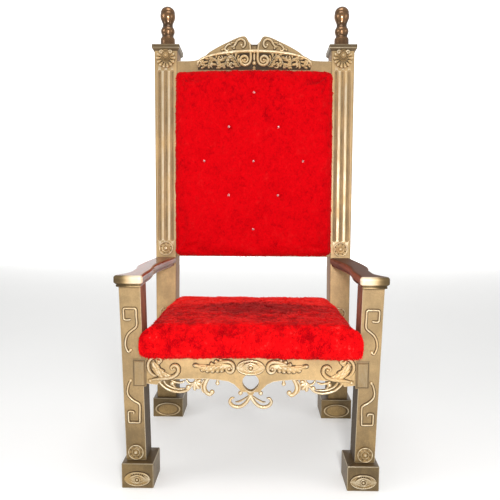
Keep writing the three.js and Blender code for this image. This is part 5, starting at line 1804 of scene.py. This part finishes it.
class THRONE_OT_feet(bpy.types.Operator):
    """Make the block feet and their ovals"""
    bl_idname = "throne.feet"
    bl_label = "Feet"

    def execute(self, context):
        make_feet()
        return {"FINISHED"}


class THRONE_OT_legs(bpy.types.Operator):
    """Make the front legs and their raised scrolls"""
    bl_idname = "throne.legs"
    bl_label = "Front legs"

    def execute(self, context):
        make_legs()
        return {"FINISHED"}


class THRONE_OT_posts(bpy.types.Operator):
    """Make the fluted back posts with caps, finials, shells and rosettes"""
    bl_idname = "throne.posts"
    bl_label = "Back posts"

    def execute(self, context):
        make_posts()
        return {"FINISHED"}


class THRONE_OT_arms(bpy.types.Operator):
    """Make the shaped arms"""
    bl_idname = "throne.arms"
    bl_label = "Arms"

    def execute(self, context):
        make_arms()
        return {"FINISHED"}


class THRONE_OT_seat_frame(bpy.types.Operator):
    """Finish the rails and boards"""
    bl_idname = "throne.seat_frame"
    bl_label = "Rails and boards"

    def execute(self, context):
        make_seat_frame()
        return {"FINISHED"}


class THRONE_OT_apron(bpy.types.Operator):
    """Make the apron, its fretwork and its carvings"""
    bl_idname = "throne.apron"
    bl_label = "Apron"

    def execute(self, context):
        make_apron()
        return {"FINISHED"}


class THRONE_OT_crest(bpy.types.Operator):
    """Make the crest board and its carvings"""
    bl_idname = "throne.crest"
    bl_label = "Crest"

    def execute(self, context):
        make_crest()
        return {"FINISHED"}


class THRONE_OT_cushion(bpy.types.Operator):
    """Make the seat cushion"""
    bl_idname = "throne.cushion"
    bl_label = "Seat cushion"

    def execute(self, context):
        make_cushion()
        return {"FINISHED"}


class THRONE_OT_back_pad(bpy.types.Operator):
    """Make the tufted back pad and its crystal buttons"""
    bl_idname = "throne.back_pad"
    bl_label = "Back pad"

    def execute(self, context):
        make_back_pad()
        make_buttons()
        return {"FINISHED"}


STEPS = (
    THRONE_OT_stage, THRONE_OT_feet, THRONE_OT_legs, THRONE_OT_posts, THRONE_OT_arms,
    THRONE_OT_seat_frame, THRONE_OT_apron, THRONE_OT_crest, THRONE_OT_cushion, THRONE_OT_back_pad,
)


class THRONE_PT_panel(bpy.types.Panel):
    """Lists the sizes, the colours and the steps"""
    bl_idname = "THRONE_PT_panel"
    bl_label = "Carved throne"
    bl_space_type = "VIEW_3D"
    bl_region_type = "UI"
    bl_category = "Throne"

    def draw(self, context):
        for settings in (context.scene.throne_sizes, context.scene.throne_colours):
            box = self.layout.box()
            for name in settings.__annotations__:
                box.prop(settings, name)
        for step in STEPS:
            self.layout.operator(step.bl_idname)


CLASSES = (ThroneSizes, ThroneColours, *STEPS, THRONE_PT_panel)


def register():
    """Registers the classes and the settings on the scene."""
    for cls in CLASSES:
        bpy.utils.register_class(cls)
    bpy.types.Scene.throne_sizes = PointerProperty(type=ThroneSizes)
    bpy.types.Scene.throne_colours = PointerProperty(type=ThroneColours)


def unregister():
    """Takes the settings and the classes away again."""
    del bpy.types.Scene.throne_colours
    del bpy.types.Scene.throne_sizes
    for cls in reversed(CLASSES):
        bpy.utils.unregister_class(cls)


def main():
    """Makes every piece in order."""
    register()
    for step in STEPS:
        group, name = step.bl_idname.split(".")
        getattr(getattr(bpy.ops, group), name)()


if __name__ == "__main__":
    main()
